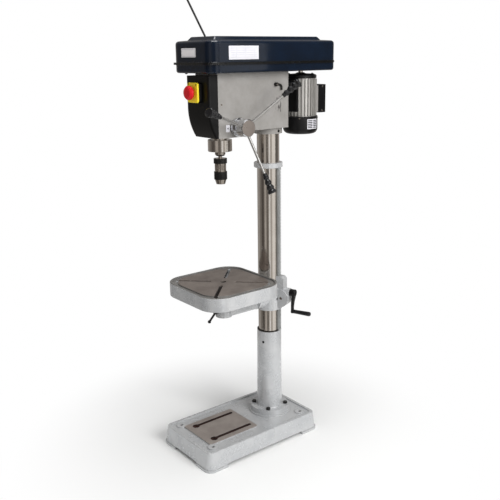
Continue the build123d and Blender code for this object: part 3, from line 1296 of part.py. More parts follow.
with BuildPart() as return_spring:
    spring_inner = FEED_STUB_R + SPRING_T / 2 + FREE
    spring_outer = SPRING_CUP_R - SPRING_CUP_WALL - SPRING_T / 2 - FREE
    half_step = (spring_outer - spring_inner) / (2 * SPRING_TURNS)
    with BuildSketch(across(-HEAD_SIDE - (SPRING_CUP_L - SPRING_CUP_WALL - SPRING_W) / 2, FEED_Y, FEED_Z)):
        with BuildLine() as coil:
            here = (spring_inner, 0.0)
            for half in range(2 * SPRING_TURNS):
                way = -1 if half % 2 == 0 else 1
                reach = spring_inner + (half + 1) * half_step
                there = (way * reach, 0.0)
                top = (reach + spring_inner + half * half_step) / 2
                mid = ((here[0] + there[0]) / 2, -way * top)
                ThreePointArc(here, mid, there)
                here = there
        trace(coil.line, SPRING_T)
    extrude(amount=-SPRING_W)

# Drive sleeve and its bearings in the head's top
with BuildPart() as drive_sleeve:
    lathe(
        [
            (0, SLEEVE_SHAFT_LOW),
            (SLEEVE_SHAFT_R, SLEEVE_SHAFT_LOW),
            (SLEEVE_SHAFT_R, PULLEY_LOW),
            (SLEEVE_TOP_R, PULLEY_LOW),
            (SLEEVE_TOP_R, PULLEY_LOW + PULLEY_H),
            (0, PULLEY_LOW + PULLEY_H),
        ],
        upright(SPINDLE_Y),
        SPINDLE_AXIS,
    )
    with BuildSketch(level(SPINDLE_Y, SLEEVE_SHAFT_LOW)):
        Circle(SPLINE_R + RUN)
        Rectangle(2 * KEY_R + 2 * RUN, KEY_W + 2 * RUN)
    extrude(amount=PULLEY_LOW + PULLEY_H - SLEEVE_SHAFT_LOW, mode=Mode.SUBTRACT)

with BuildPart() as sleeve_bearings:
    for low in (bearing_seat + BEARING_GAP, bearing_seat + 2 * BEARING_GAP + TOP_BEARING_H):
        ring(level(SPINDLE_Y, low), TOP_BEARING_R, SLEEVE_SHAFT_R + RUN, TOP_BEARING_H)


def pulley_outline(radii, bore):
    """A stepped V-pulley's half outline, from its lowest step up."""
    points = [(bore, PULLEY_LOW)]
    for step, radius in enumerate(radii):
        low = PULLEY_LOW + step * STEP_H
        middle = low + STEP_H / 2
        points += [
            (radius, low),
            (radius, middle - GROOVE_W / 2),
            (radius - GROOVE_D, middle - GROOVE_FLOOR_W / 2),
            (radius - GROOVE_D, middle + GROOVE_FLOOR_W / 2),
            (radius, middle + GROOVE_W / 2),
            (radius, low + STEP_H),
        ]
    points.append((bore, PULLEY_LOW + PULLEY_H))
    return points


def belt_loop(front_y, front_r, back_y, back_r, step):
    """A V-belt round two grooves on the same level, the wide side out."""
    out = BELT_OUT + BELT_PLAY
    front_mid = front_r - out - BELT_T / 2
    back_mid = back_r - out - BELT_T / 2
    span = back_y - front_y
    lean = (front_mid - back_mid) / span
    side = sqrt(1 - lean * lean)
    z = PULLEY_LOW + (step + 0.5) * STEP_H
    slope = (GROOVE_W - GROOVE_FLOOR_W) / (2 * GROOVE_D)
    wide = GROOVE_W / 2 - slope * out - BELT_PLAY
    narrow = wide - slope * BELT_T
    plane = Plane(origin=(0, 0, z), x_dir=(1, 0, 0), z_dir=(0, 0, 1))
    with BuildLine(plane) as loop:
        right_front = (front_mid * side, front_y + front_mid * lean)
        right_back = (back_mid * side, back_y + back_mid * lean)
        left_back = (-right_back[0], right_back[1])
        left_front = (-right_front[0], right_front[1])
        Line(right_front, right_back)
        ThreePointArc(right_back, (0, back_y + back_mid), left_back)
        Line(left_back, left_front)
        ThreePointArc(left_front, (0, front_y - front_mid), right_front)
    start = Plane(origin=(right_front[0], right_front[1], z), x_dir=(side, lean, 0), z_dir=(-lean, side, 0))
    with BuildSketch(start) as section:
        with BuildLine():
            Polyline(
                (-BELT_T / 2, -narrow),
                (BELT_T / 2, -wide),
                (BELT_T / 2, wide),
                (-BELT_T / 2, narrow),
                close=True,
            )
        make_face()
    sweep(section.sketch, path=loop.wire())


# Stepped pulleys, idler post and V-belts
idler_radii = STEP_RADII[::-1]
with BuildPart() as spindle_pulley:
    lathe(pulley_outline(STEP_RADII, SLEEVE_TOP_R + SEAT), upright(SPINDLE_Y), SPINDLE_AXIS)

with BuildPart() as idler_post:
    lathe(
        [
            (0, HEAD_TOP - POST_DEPTH),
            (POST_R, HEAD_TOP - POST_DEPTH),
            (POST_R, HEAD_TOP),
            (POST_FLANGE_R, HEAD_TOP),
            (POST_FLANGE_R, PULLEY_LOW - FREE),
            (POST_R, PULLEY_LOW - FREE),
            (POST_R, PULLEY_LOW + PULLEY_H + POST_OVER),
            (0, PULLEY_LOW + PULLEY_H + POST_OVER),
        ],
        upright(IDLER_Y),
        IDLER_AXIS,
    )

with BuildPart() as idler_pulley:
    lathe(pulley_outline(idler_radii, POST_R + RUN), upright(IDLER_Y), IDLER_AXIS)

with BuildPart() as motor_pulley:
    lathe(pulley_outline(STEP_RADII, MOTOR_SHAFT_R + SEAT), upright(MOTOR_Y), MOTOR_AXIS)

with BuildPart() as drive_belts:
    step = FRONT_BELT_INDEX
    belt_loop(SPINDLE_Y, STEP_RADII[step], IDLER_Y, idler_radii[step], step)
    belt_loop(IDLER_Y, idler_radii[REAR_BELT_INDEX], MOTOR_Y, STEP_RADII[REAR_BELT_INDEX], REAR_BELT_INDEX)

# Belt guard tray: pan with a rim, shaft openings and the fixed hinge knuckles
with BuildPart() as guard_tray:
    extrude(guard_outline(level(GUARD_Y, TRAY_LOW), 0), amount=RIM_Z - TRAY_LOW)
    fillet(guard_tray.faces().sort_by(Axis.Z)[0].edges(), TRAY_EDGE)
    extrude(guard_outline(level(GUARD_Y, RIM_Z - RIM_T), RIM), amount=RIM_T)
    extrude(
        guard_outline(level(GUARD_Y, TRAY_LOW + GUARD_WALL), -GUARD_WALL), amount=RIM_Z - TRAY_LOW,
        mode=Mode.SUBTRACT,
    )
    with BuildSketch(Plane.XY.offset(TRAY_LOW)):
        with Locations((0, SPINDLE_Y)):
            Circle(SHAFT_HOLE_R)
        with Locations((0, IDLER_Y)):
            Circle(POST_FLANGE_R + FREE)
        with Locations((0, MOTOR_Y - MOTOR_TRAVEL / 2)):
            SlotOverall(2 * SHAFT_HOLE_R + MOTOR_TRAVEL, 2 * SHAFT_HOLE_R, rotation=90)
    extrude(amount=GUARD_WALL, mode=Mode.SUBTRACT)
    for side in (-1, 1):
        for offset_x in (-HINGE_KNUCKLE, HINGE_KNUCKLE):
            knuckle_x = side * HINGE_X + offset_x - HINGE_KNUCKLE / 2
            with BuildSketch(across(knuckle_x, HINGE_Y, RIM_Z)):
                Circle(HINGE_R)
                with Locations((-HINGE_OUT / 2 - HINGE_R / 4, -RIM_T / 2)):
                    Rectangle(HINGE_OUT + HINGE_R / 2, RIM_T)
                Circle(HINGE_PIN_R + SEAT, mode=Mode.SUBTRACT)
            extrude(amount=HINGE_KNUCKLE)

# Belt guard lid: rimmed hood with a raised crown, hinged at the back
with BuildPart() as guard_lid:
    lid_low = RIM_Z + FREE
    extrude(guard_outline(level(GUARD_Y, lid_low), 0), amount=LID_EDGE - lid_low)
    loft([guard_outline(level(GUARD_Y, LID_EDGE), 0), guard_outline(level(GUARD_Y, LID_TOP), -LID_INSET)])
    for z in (LID_TOP, LID_EDGE):
        fillet(guard_lid.edges().filter_by_position(Axis.Z, z, z), LID_ROUND)
    extrude(guard_outline(level(GUARD_Y, lid_low), RIM), amount=RIM_T)
    extrude(
        guard_outline(level(GUARD_Y, lid_low), -GUARD_WALL), amount=LID_EDGE - lid_low, mode=Mode.SUBTRACT
    )
    loft(
        [
            guard_outline(level(GUARD_Y, LID_EDGE), -GUARD_WALL),
            guard_outline(level(GUARD_Y, LID_TOP - GUARD_WALL), -GUARD_WALL - LID_INSET),
        ],
        mode=Mode.SUBTRACT,
    )
    for side in (-1, 1):
        with BuildSketch(across(side * HINGE_X - HINGE_KNUCKLE / 2 + FREE, HINGE_Y, RIM_Z)):
            Circle(HINGE_R)
            with Locations((-HINGE_OUT / 2 - HINGE_R / 4, FREE + RIM_T / 2)):
                Rectangle(HINGE_OUT + HINGE_R / 2, RIM_T)
            Circle(HINGE_PIN_R + RUN, mode=Mode.SUBTRACT)
        extrude(amount=HINGE_KNUCKLE - 2 * FREE)

with BuildPart() as lid_hinge_pins:
    for side in (-1, 1):
        pin_l = 3 * HINGE_KNUCKLE + 2 * HINGE_PIN_OVER
        rod(across(side * HINGE_X - pin_l / 2, HINGE_Y, RIM_Z), HINGE_PIN_R, pin_l)

# Motor: finned frame with its stator, end cap, rotor, fan cover and terminal box
with BuildPart() as motor_frame:
    rod(level(MOTOR_Y, FRAME_LOW), FRAME_R, FRAME_TOP - FRAME_LOW)
    with BuildSketch(level(MOTOR_Y, FRAME_LOW + FIN_INSET)):
        with PolarLocations((FRAME_R + FIN_R) / 2 - FIN_SINK, FIN_COUNT):
            Rectangle(FIN_R - FRAME_R + 2 * FIN_SINK, FIN_T)
    extrude(amount=FRAME_TOP - FRAME_LOW - 2 * FIN_INSET)
    box_seat = MOTOR_Y + FIN_R
    box_face = facing_front(0, box_seat, (BOX_LOW + BOX_TOP) / 2)
    seat_w = BOX_W - 2 * BOX_SEAT_INSET
    seat_h = BOX_TOP - BOX_LOW - 2 * BOX_SEAT_INSET
    slab(box_face, seat_w, seat_h, FIN_R - FRAME_R + BOX_SEAT_SINK)
    foot_back = MOTOR_Y - FRAME_R + MOTOR_FOOT_SINK
    with BuildSketch(facing_front(0, foot_back, (PLATE_LOW + PLATE_TOP) / 2)):
        Rectangle(MOTOR_FOOT_W, PLATE_TOP - PLATE_LOW - 2 * MOTOR_FOOT_INSET)
    extrude(amount=foot_back - PLATE_Y - PLATE_T)
    rod(level(MOTOR_Y, FRAME_LOW + FRAME_FLOOR), STATOR_R, FRAME_TOP - FRAME_LOW, mode=Mode.SUBTRACT)
    rod(level(MOTOR_Y, FRAME_LOW), MOTOR_SHAFT_R + RUN, FRAME_FLOOR, mode=Mode.SUBTRACT)

with BuildPart() as motor_end_cap:
    lathe(
        [
            (MOTOR_SHAFT_R + RUN, FRAME_TOP),
            (END_CAP_R, FRAME_TOP),
            (END_CAP_R, FRAME_TOP + END_CAP_SIDE),
            (END_CAP_R - END_CAP_SHOULDER[0], FRAME_TOP + END_CAP_SHOULDER[1]),
            (END_CAP_BOSS_R + END_CAP_CROWN[0], FRAME_TOP + END_CAP_CROWN[1]),
            (END_CAP_BOSS_R, END_CAP_TOP),
            (MOTOR_SHAFT_R + RUN, END_CAP_TOP),
        ],
        upright(MOTOR_Y),
        MOTOR_AXIS,
    )

with BuildPart() as motor_rotor:
    rotor_low = FRAME_LOW + FRAME_FLOOR + ROTOR_LOW_GAP
    rotor_top = FRAME_TOP - ROTOR_TOP_GAP
    lathe(
        [
            (0, FAN_DISC_Z - FAN_INSET),
            (MOTOR_SHAFT_R, FAN_DISC_Z - FAN_INSET),
            (MOTOR_SHAFT_R, rotor_low),
            (ROTOR_R, rotor_low),
            (ROTOR_R, rotor_top),
            (MOTOR_SHAFT_R, rotor_top),
            (MOTOR_SHAFT_R, PULLEY_LOW + PULLEY_H + MOTOR_SHAFT_OVER),
            (0, PULLEY_LOW + PULLEY_H + MOTOR_SHAFT_OVER),
        ],
        upright(MOTOR_Y),
        MOTOR_AXIS,
    )
    rod(level(MOTOR_Y, FAN_DISC_Z), FAN_R, FAN_DISC_T)
    with BuildSketch(level(MOTOR_Y, FAN_DISC_Z + FAN_DISC_T / 2)):
        with PolarLocations((FAN_R + MOTOR_SHAFT_R) / 2 - FAN_INSET, FAN_BLADES):
            Rectangle(FAN_R - MOTOR_SHAFT_R, FAN_BLADE_T)
    extrude(amount=FAN_DISC_T / 2 + FAN_BLADE_H)

with BuildPart() as motor_fan_cover:
    rod(level(MOTOR_Y, FAN_COVER_LOW), FAN_COVER_R, FRAME_LOW - FAN_COVER_LOW)
    fillet(motor_fan_cover.faces().sort_by(Axis.Z)[0].edges(), FAN_COVER_ROUND)
    offset(amount=-FAN_COVER_WALL, openings=motor_fan_cover.faces().sort_by(Axis.Z)[-1])
    ring(level(MOTOR_Y, FRAME_LOW), FAN_COVER_R, FRAME_R - FAN_COVER_LIP, -FAN_COVER_LIP_T)
    with BuildSketch(level(MOTOR_Y, FAN_COVER_LOW)):
        for radius in VENT_RADII:
            with PolarLocations(radius, VENT_COUNT, start_angle=180 / VENT_COUNT):
                SlotOverall(radius * VENT_SHARE, VENT_W, rotation=90)
    extrude(amount=FAN_COVER_WALL, mode=Mode.SUBTRACT)

with BuildPart() as terminal_box:
    slab(facing_front(0, BOX_BACK, (BOX_LOW + BOX_TOP) / 2), BOX_W, BOX_TOP - BOX_LOW, BOX_BACK - box_seat)
    fillet(terminal_box.faces().sort_by(Axis.Y)[-1].edges(), BOX_EDGE)
    offset(amount=-BOX_WALL, openings=terminal_box.faces().sort_by(Axis.Y)[0])

# Motor bracket: plate with two welded bars that slide in the head
with BuildPart() as motor_bracket:
    with BuildSketch(facing_front(0, PLATE_Y + PLATE_T, (PLATE_LOW + PLATE_TOP) / 2)):
        RectangleRounded(PLATE_W, PLATE_TOP - PLATE_LOW, PLATE_CORNER)
    extrude(amount=PLATE_T)
    with BuildSketch(facing_front(0, PLATE_Y, BAR_Z)):
        with GridLocations(2 * BAR_X, 0, 2, 1):
            Circle(BAR_R)
    extrude(amount=PLATE_Y - BAR_FRONT)

# Lock lever for the motor's slide bars
with BuildPart() as tension_lock_lever:
    lock_tip = BAR_X + BAR_R + FREE
    lock_face = HEAD_SIDE + FREE
    rod(across(lock_tip, LOCK_Y, BAR_Z), LOCK_SCREW_R, lock_face - lock_tip)
    rod(across(lock_face, LOCK_Y, BAR_Z), LOCK_HUB_R, LOCK_HUB_L)
    lock_root = Vector(lock_face + LOCK_HUB_L / 2, LOCK_Y, BAR_Z)
    ball_lever(lock_root, Vector(*LOCK_LEVER_WAY), LOCK_ROD_R, LOCK_LEVER_L, LOCK_BALL_R)

# Mains cord: gland, taut cord and the hanger that it ends in
with BuildPart() as cable_gland:
    gland_l = -HEAD_SIDE - CORD_ROUTE[0][0]
    lathe(
        [
            (-HEAD_SIDE, 0),
            (-HEAD_SIDE, GLAND_R),
            (-HEAD_SIDE - GLAND_NUT_L, GLAND_R),
            (-HEAD_SIDE - GLAND_NUT_L - GLAND_STEP, GLAND_R - GLAND_STEP),
            (-HEAD_SIDE - gland_l, GLAND_TIP_R),
            (-HEAD_SIDE - gland_l, 0),
        ],
        Plane(origin=(0, CORD_ROUTE[0][1], CORD_ROUTE[0][2]), x_dir=(1, 0, 0), z_dir=(0, -1, 0)),
        Axis((0, CORD_ROUTE[0][1], CORD_ROUTE[0][2]), (1, 0, 0)),
    )

route = [Vector(*point) for point in CORD_ROUTE]
cord_radii = []
for before, corner, after in zip(route, route[1:], route[2:]):
    turn = (corner - before).get_angle(after - corner)
    shorter = min((corner - before).length, (after - corner).length)
    cord_radii.append(CORD_BEND_SHARE * shorter / tan(radians(turn / 2)))
print("cord bend radii:", [round(radius, 1) for radius in cord_radii])

with BuildPart() as mains_cord:
    with BuildLine() as cord_path:
        FilletPolyline(*route, radius=cord_radii)
    with BuildSketch(Plane(origin=route[0], z_dir=route[1] - route[0])):
        Circle(CORD_R)
    sweep(path=cord_path.wire())
print("cord volume over section times length:",
      round(mains_cord.part.volume / (pi * CORD_R**2 * cord_path.wire().length), 4))

with BuildPart() as cord_hanger:
    pull = (route[-1] - route[-2]).normalized()
    hanger_plane = Plane(origin=route[-1], x_dir=(1, 0, 0), z_dir=pull)
    with BuildSketch(hanger_plane):
        Circle(CORD_R + HANGER_GRIP)
    with BuildSketch(hanger_plane.offset(HANGER_L)):
        Circle(HANGER_R)
    loft()
    eye_centre = route[-1] + pull * (HANGER_L + HANGER_EYE_R)
    with BuildLine() as eye_path:
        eye_plane = Plane(origin=eye_centre, x_dir=pull, z_dir=(1, 0, 0))
        add(eye_plane.location * Edge.make_circle(HANGER_EYE_R))
    with BuildSketch(Plane(origin=eye_centre + pull * HANGER_EYE_R, x_dir=pull, z_dir=eye_plane.y_dir)):
        Circle(HANGER_WIRE_R)
    sweep(path=eye_path.wire())

nodes = {
    "base_casting": base_casting,
    "pedestal": pedestal,
    "pedestal_bolts": pedestal_bolts,
    "column": column,
    "rack_ring": rack_ring,
    "rack": rack,
    "table_bracket": table_bracket,
    "lift_gear": lift_gear,
    "worm_shaft": worm_shaft,
    "crank_arm": crank_arm,
    "crank_handle": crank_handle,
    "column_clamp_lever": column_clamp_lever,
    "tilt_bolt": tilt_bolt,
    "table_arm": table_arm,
    "table": table,
    "table_clamp_lever": table_clamp_lever,
    "head_casting": head_casting,
    "front_cover": front_cover,
    "switch_box": switch_box,
    "switch_flap": switch_flap,
    "stop_button": stop_button,
    "start_button": start_button,
    "quill": quill,
    "quill_bearings": quill_bearings,
    "spindle": spindle,
    "chuck_arbor": chuck_arbor,
    "chuck_body": chuck_body,
    "chuck_ring": chuck_ring,
    "chuck_sleeve": chuck_sleeve,
    "chuck_jaw_1": chuck_jaws[0],
    "chuck_jaw_2": chuck_jaws[1],
    "chuck_jaw_3": chuck_jaws[2],
    "feed_shaft": feed_shaft,
    "depth_ring": depth_ring,
    "feed_hub": feed_hub,
    "feed_levers": feed_levers,
    "feed_grips": feed_grips,
    "spring_housing": spring_housing,
    "return_spring": return_spring,
    "drive_sleeve": drive_sleeve,
    "sleeve_bearings": sleeve_bearings,
    "spindle_pulley": spindle_pulley,
    "idler_post": idler_post,
    "idler_pulley": idler_pulley,
    "motor_pulley": motor_pulley,
    "drive_belts": drive_belts,
    "guard_tray": guard_tray,
    "guard_lid": guard_lid,
    "lid_hinge_pins": lid_hinge_pins,
    "motor_frame": motor_frame,
    "motor_end_cap": motor_end_cap,
    "motor_rotor": motor_rotor,
    "motor_fan_cover": motor_fan_cover,
    "terminal_box": terminal_box,
    "motor_bracket": motor_bracket,
    "tension_lock_lever": tension_lock_lever,
    "cable_gland": cable_gland,
    "mains_cord": mains_cord,
    "cord_hanger": cord_hanger,
}

os.makedirs("parts", exist_ok=True)
for name, builder in nodes.items():
    builder.part.label = name
    export_step(builder.part, f"parts/{name}.step")
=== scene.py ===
"""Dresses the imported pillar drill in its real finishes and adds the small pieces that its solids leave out.

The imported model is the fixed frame: metres, +Z up, -Y towards the operator, +X on the feed levers' side.
"""

from __future__ import annotations

import logging
import math
from collections.abc import Callable
from dataclasses import dataclass
from enum import Enum

import bmesh
import bpy
from mathutils import Matrix, Vector

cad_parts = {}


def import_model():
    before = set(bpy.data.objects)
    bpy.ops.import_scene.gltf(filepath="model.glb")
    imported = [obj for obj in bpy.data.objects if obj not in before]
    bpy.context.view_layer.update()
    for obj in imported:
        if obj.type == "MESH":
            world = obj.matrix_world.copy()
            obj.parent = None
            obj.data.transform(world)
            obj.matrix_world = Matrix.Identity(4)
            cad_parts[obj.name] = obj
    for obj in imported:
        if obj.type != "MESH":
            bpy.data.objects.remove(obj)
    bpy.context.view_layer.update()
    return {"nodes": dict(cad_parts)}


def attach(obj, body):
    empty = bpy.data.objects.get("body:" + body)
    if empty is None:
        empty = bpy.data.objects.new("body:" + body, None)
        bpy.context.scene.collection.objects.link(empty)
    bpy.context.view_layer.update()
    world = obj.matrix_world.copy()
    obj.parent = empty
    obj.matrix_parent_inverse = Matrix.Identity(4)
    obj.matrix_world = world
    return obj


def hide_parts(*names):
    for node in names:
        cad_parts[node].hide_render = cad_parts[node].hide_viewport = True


LOG = logging.getLogger("pillar_drill")
MM = 0.001

# Sockets of the Mix node when it mixes colours
MIX_FACTOR = 0
MIX_A = 6
MIX_B = 7
MIX_RESULT = 2

# Detail of the noise for patches, grain and streaks, and roughness of the patches' noise
PATCH_DETAIL = 5.0
PATCH_ROUGHNESS = 0.62
GRAIN_DETAIL = 3.0
STREAK_DETAIL = 2.0

# Spans of the patch noise over which colour and gloss change, and the least roughness
COLOUR_SPAN = (0.32, 0.68)
GLOSS_SPAN = (0.3, 0.7)
LEAST_ROUGHNESS = 0.02

# Samples of a soft edge, and how alike flat and soft normals are where rubbing starts and where it is full
EDGE_SAMPLES = 4
RUB_SPAN = (0.995, 0.9)

# Keeps a division off nought
TINY = 0.001
ORIGIN = (0.0, 0.0, 0.0)

# The drill's main places, in metres
COLUMN_Y = 160 * MM
FEED_Y = -49 * MM
FEED_Z = 1346 * MM
MOTOR_Y = 336 * MM
HEAD_SIDE = 72 * MM
TABLE_Y = -82 * MM
TRAY_LOW = 1546.8 * MM
GUARD_SIDE = 130 * MM
GUARD_FRONT = -205 * MM

Tree = bpy.types.NodeTree
Socket = bpy.types.NodeSocket
Nodes = dict[str, bpy.types.Object]
# Points of a flat drawing
Outline = list[tuple[float, float]]
# Distances along a round piece and its radius there, in millimetres
Profile = tuple[tuple[float, float], ...]
# Left, right, low and high edge of a drawing
Box = tuple[float, float, float, float]
# Maps a flat drawing's across, up and out onto a surface of the drill
Place = Callable[[float, float, float], Vector]
# How far from its middle a ring is at a turn
Ring = Callable[[float], float]


def srgb(code: str) -> tuple[float, float, float, float]:
    """Turns an sRGB hex value into a linear colour.

    Args:
        code: Six hex digits after a hash sign.

    Returns:
        Linear red, green and blue, with an alpha of 1.
    """
    shares = [int(code[i : i + 2], 16) / 255 for i in (1, 3, 5)]
    linear = [s / 12.92 if s <= 0.04045 else ((s + 0.055) / 1.055) ** 2.4 for s in shares]
    return (linear[0], linear[1], linear[2], 1.0)


def add_node(
    tree: Tree,
    kind: str,
    settings: dict[str, object] | None = None,
    inputs: dict[str | int, object] | None = None,
) -> bpy.types.Node:
    """Adds a node, sets its attributes, and links or fills its inputs.

    Args:
        tree: The tree that gets the node.
        kind: The node's type name.
        settings: Attributes of the node and their values.
        inputs: Input sockets by name or place, each with a socket to link or a value.

    Returns:
        The new node.
    """
    node = tree.nodes.new(kind)
    for name, value in (settings or {}).items():
        setattr(node, name, value)
    for key, value in (inputs or {}).items():
        if isinstance(value, Socket):
            tree.links.new(value, node.inputs[key])
        else:
            node.inputs[key].default_value = value
    return node


def cleared(data: bpy.types.Material | bpy.types.World) -> Tree:
    """Switches a material or world to nodes and empties its tree.

    Args:
        data: The material or world.

    Returns:
        Its tree.
    """
    data.use_nodes = True
    data.node_tree.nodes.clear()
    return data.node_tree


def new_object(name: str, data: bpy.types.ID) -> bpy.types.Object:
    """Makes an object of a mesh, curve or lamp and links it to the scene.

    Args:
        name: The object's name.
        data: What it shows.

    Returns:
        The object, at the origin.
    """
    made = bpy.data.objects.new(name, data)
    bpy.context.scene.collection.objects.link(made)
    return made


def declare(piece: bpy.types.Object, body: str, replaced: str = "") -> None:
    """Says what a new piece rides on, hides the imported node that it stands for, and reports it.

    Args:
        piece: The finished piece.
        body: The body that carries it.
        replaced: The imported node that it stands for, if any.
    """
    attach(piece, body)
    if replaced:
        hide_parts(replaced)
    LOG.info("%s rides on %s", piece.name, body)


def rounded(
    span_x: tuple[float, float], span_y: tuple[float, float], corners: tuple[float, float], steps: int = 9
) -> Outline:
    """Draws a rectangle with round corners.

    Args:
        span_x: Its left and right side.
        span_y: Its front and back.
        corners: Radius of its front and of its back corners.
        steps: Steps round a corner.

    Returns:
        Its points, anticlockwise from the right of the back.
    """
    front, back = corners
    turns = [
        (span_x[1] - back, span_y[1] - back, back),
        (span_x[0] + back, span_y[1] - back, back),
        (span_x[0] + front, span_y[0] + front, front),
        (span_x[1] - front, span_y[0] + front, front),
    ]
    points = []
    for quarter, (x, y, radius) in enumerate(turns):
        for step in range(steps + 1):
            angle = math.radians(90 * (quarter + step / steps))
            points.append((x + radius * math.cos(angle), y + radius * math.sin(angle)))
    return points


def ring_outline(ring: Ring, steps: int, middle: tuple[float, float] = (0.0, 0.0)) -> Outline:
    """Returns the points of a ring, anticlockwise."""
    turns = [2 * math.pi * step / steps for step in range(steps)]
    return [(middle[0] + ring(t) * math.cos(t), middle[1] + ring(t) * math.sin(t)) for t in turns]


def circle(radius: float) -> Ring:
    """Returns a round ring."""
    return lambda turn: radius


def hexagon(flat: float) -> Ring:
    """Returns a ring with six flats this far out."""
    sixth = math.pi / 3
    return lambda turn: flat / math.cos((turn + sixth / 2) % sixth - sixth / 2)


def cross(reach: float, half: float) -> Ring:
    """Returns a ring in the shape of a cross recess.

    Args:
        reach: How far out its arms go.
        half: Half the width of an arm.

    Returns:
        The ring.
    """

    def edge(turn: float) -> float:
        """Returns how far out the cross is at this turn."""
        near, far = sorted((abs(math.cos(turn)), abs(math.sin(turn))))
        return min(reach / far, half / max(near, TINY))

    return edge


def skin(
    mesh: bmesh.types.BMesh,
    levels: list[tuple[Outline, float]],
    ring: bool = False,
    place: Place = lambda x, y, z: Vector((x, y, z)),
    material: int = 0,
) -> None:
    """Joins outlines of equal count into a closed skin.

    Args:
        mesh: The mesh that gets it.
        levels: Each outline with its height, in order along the skin.
        ring: True where the last outline joins the first; otherwise the two ends are capped.
        place: Maps x, y and height onto the drill.
        material: Its material slot.
    """
    rows = [[mesh.verts.new(place(x, y, height)) for x, y in outline] for outline, height in levels]
    pairs = list(zip(rows, rows[1:]))
    faces = []
    if ring:
        pairs.append((rows[-1], rows[0]))
    else:
        faces += [list(reversed(rows[0])), rows[-1]]
    count = len(rows[0])
    for near, far in pairs:
        for step in range(count):
            after = (step + 1) % count
            faces.append((near[step], near[after], far[after], far[step]))
    for corners in faces:
        mesh.faces.new(corners).material_index = material


def lathe(
    mesh: bmesh.types.BMesh, profile: Profile, place: Place, steps: int = 48, material: int = 0
) -> None:
    """Turns a round piece about the drawing's middle; place maps the drawing onto the drill."""
    levels = [(ring_outline(circle(radius * MM), steps), along * MM) for along, radius in profile]
    skin(mesh, levels, place=place, material=material)


def bent_rod(
    name: str, route: list[tuple[float, float, float]], radius: float, roundness: int, steps: int
) -> bpy.types.Object:
    """Makes a round rod or cord along one smooth spline.

    Args:
        name: The object's name.
        route: The points that it follows.
        radius: Its radius.
        roundness: Bevel resolution.
        steps: Steps from point to point.

    Returns:
        The curve's object.
    """
    curve = bpy.data.curves.new(name, "CURVE")
    curve.dimensions = "3D"
    curve.bevel_depth = radius
    curve.bevel_resolution = roundness
    curve.use_fill_caps = True
    spline = curve.splines.new("NURBS")
    spline.points.add(len(route) - 1)
    for point, place in zip(spline.points, route):
        point.co = (*place, 1.0)
    spline.order_u = 3
    spline.use_endpoint_u = True
    spline.resolution_u = steps
    return new_object(name, curve)


def to_object(name: str, mesh: bmesh.types.BMesh, materials: list[bpy.types.Material]) -> bpy.types.Object:
    """Turns a mesh under construction into an object with outward faces.

    Args:
        name: The object's name.
        mesh: The mesh, which is used up.
        materials: Its materials.

    Returns:
        The object.
    """
    bmesh.ops.recalc_face_normals(mesh, faces=mesh.faces)
    data = bpy.data.meshes.new(name)
    mesh.to_mesh(data)
    mesh.free()
    for material in materials:
        data.materials.append(material)
    return new_object(name, data)


def settled(source: bpy.types.Object) -> bpy.types.Mesh:
    """Takes the mesh that an object's modifiers or bevel make of it.

    Args:
        source: The object, which is used up.

    Returns:
        The mesh.
    """
    bpy.context.view_layer.update()
    mesh = bpy.data.meshes.new_from_object(source.evaluated_get(bpy.context.evaluated_depsgraph_get()))
    bpy.data.objects.remove(source)
    return mesh


@dataclass(frozen=True)
class Tone:
    """Colour and gloss of one surface.

    Attributes:
        colour: Main tone, sRGB hex.
        shade: Second tone that shows in soft patches, sRGB hex.
        roughness: Middle roughness.
        metallic: 1 for bare metal.
        gloss_spread: How far the roughness varies over the patches.
    """

    colour: str
    shade: str
    roughness: float
    metallic: float = 0.0
    gloss_spread: float = 0.06

    def nodes(self, tree: Tree, patches: Socket) -> tuple[Socket, Socket]:
        """Varies colour and gloss by the patches.

        Args:
            tree: The material's tree.
            patches: The patch noise.

        Returns:
            The colour and the roughness.
        """
        span = {"Value": patches, "From Min": COLOUR_SPAN[0], "From Max": COLOUR_SPAN[1]}
        share = add_node(tree, "ShaderNodeMapRange", inputs=span).outputs["Result"]
        tones = {MIX_FACTOR: share, MIX_A: srgb(self.colour), MIX_B: srgb(self.shade)}
        colour = add_node(tree, "ShaderNodeMix", {"data_type": "RGBA"}, tones).outputs[MIX_RESULT]
        gloss = {
            "Value": patches,
            "From Min": GLOSS_SPAN[0],
            "From Max": GLOSS_SPAN[1],
            "To Min": max(self.roughness - self.gloss_spread, LEAST_ROUGHNESS),
            "To Max": self.roughness + self.gloss_spread,
        }
        return colour, add_node(tree, "ShaderNodeMapRange", inputs=gloss).outputs["Result"]


class Facing(Enum):
    """Which way the surface of a zone looks: the order in which its across, up and depth are read."""

    UP = ("X", "Y", "Z")
    RIGHT = ("Y", "Z", "X")


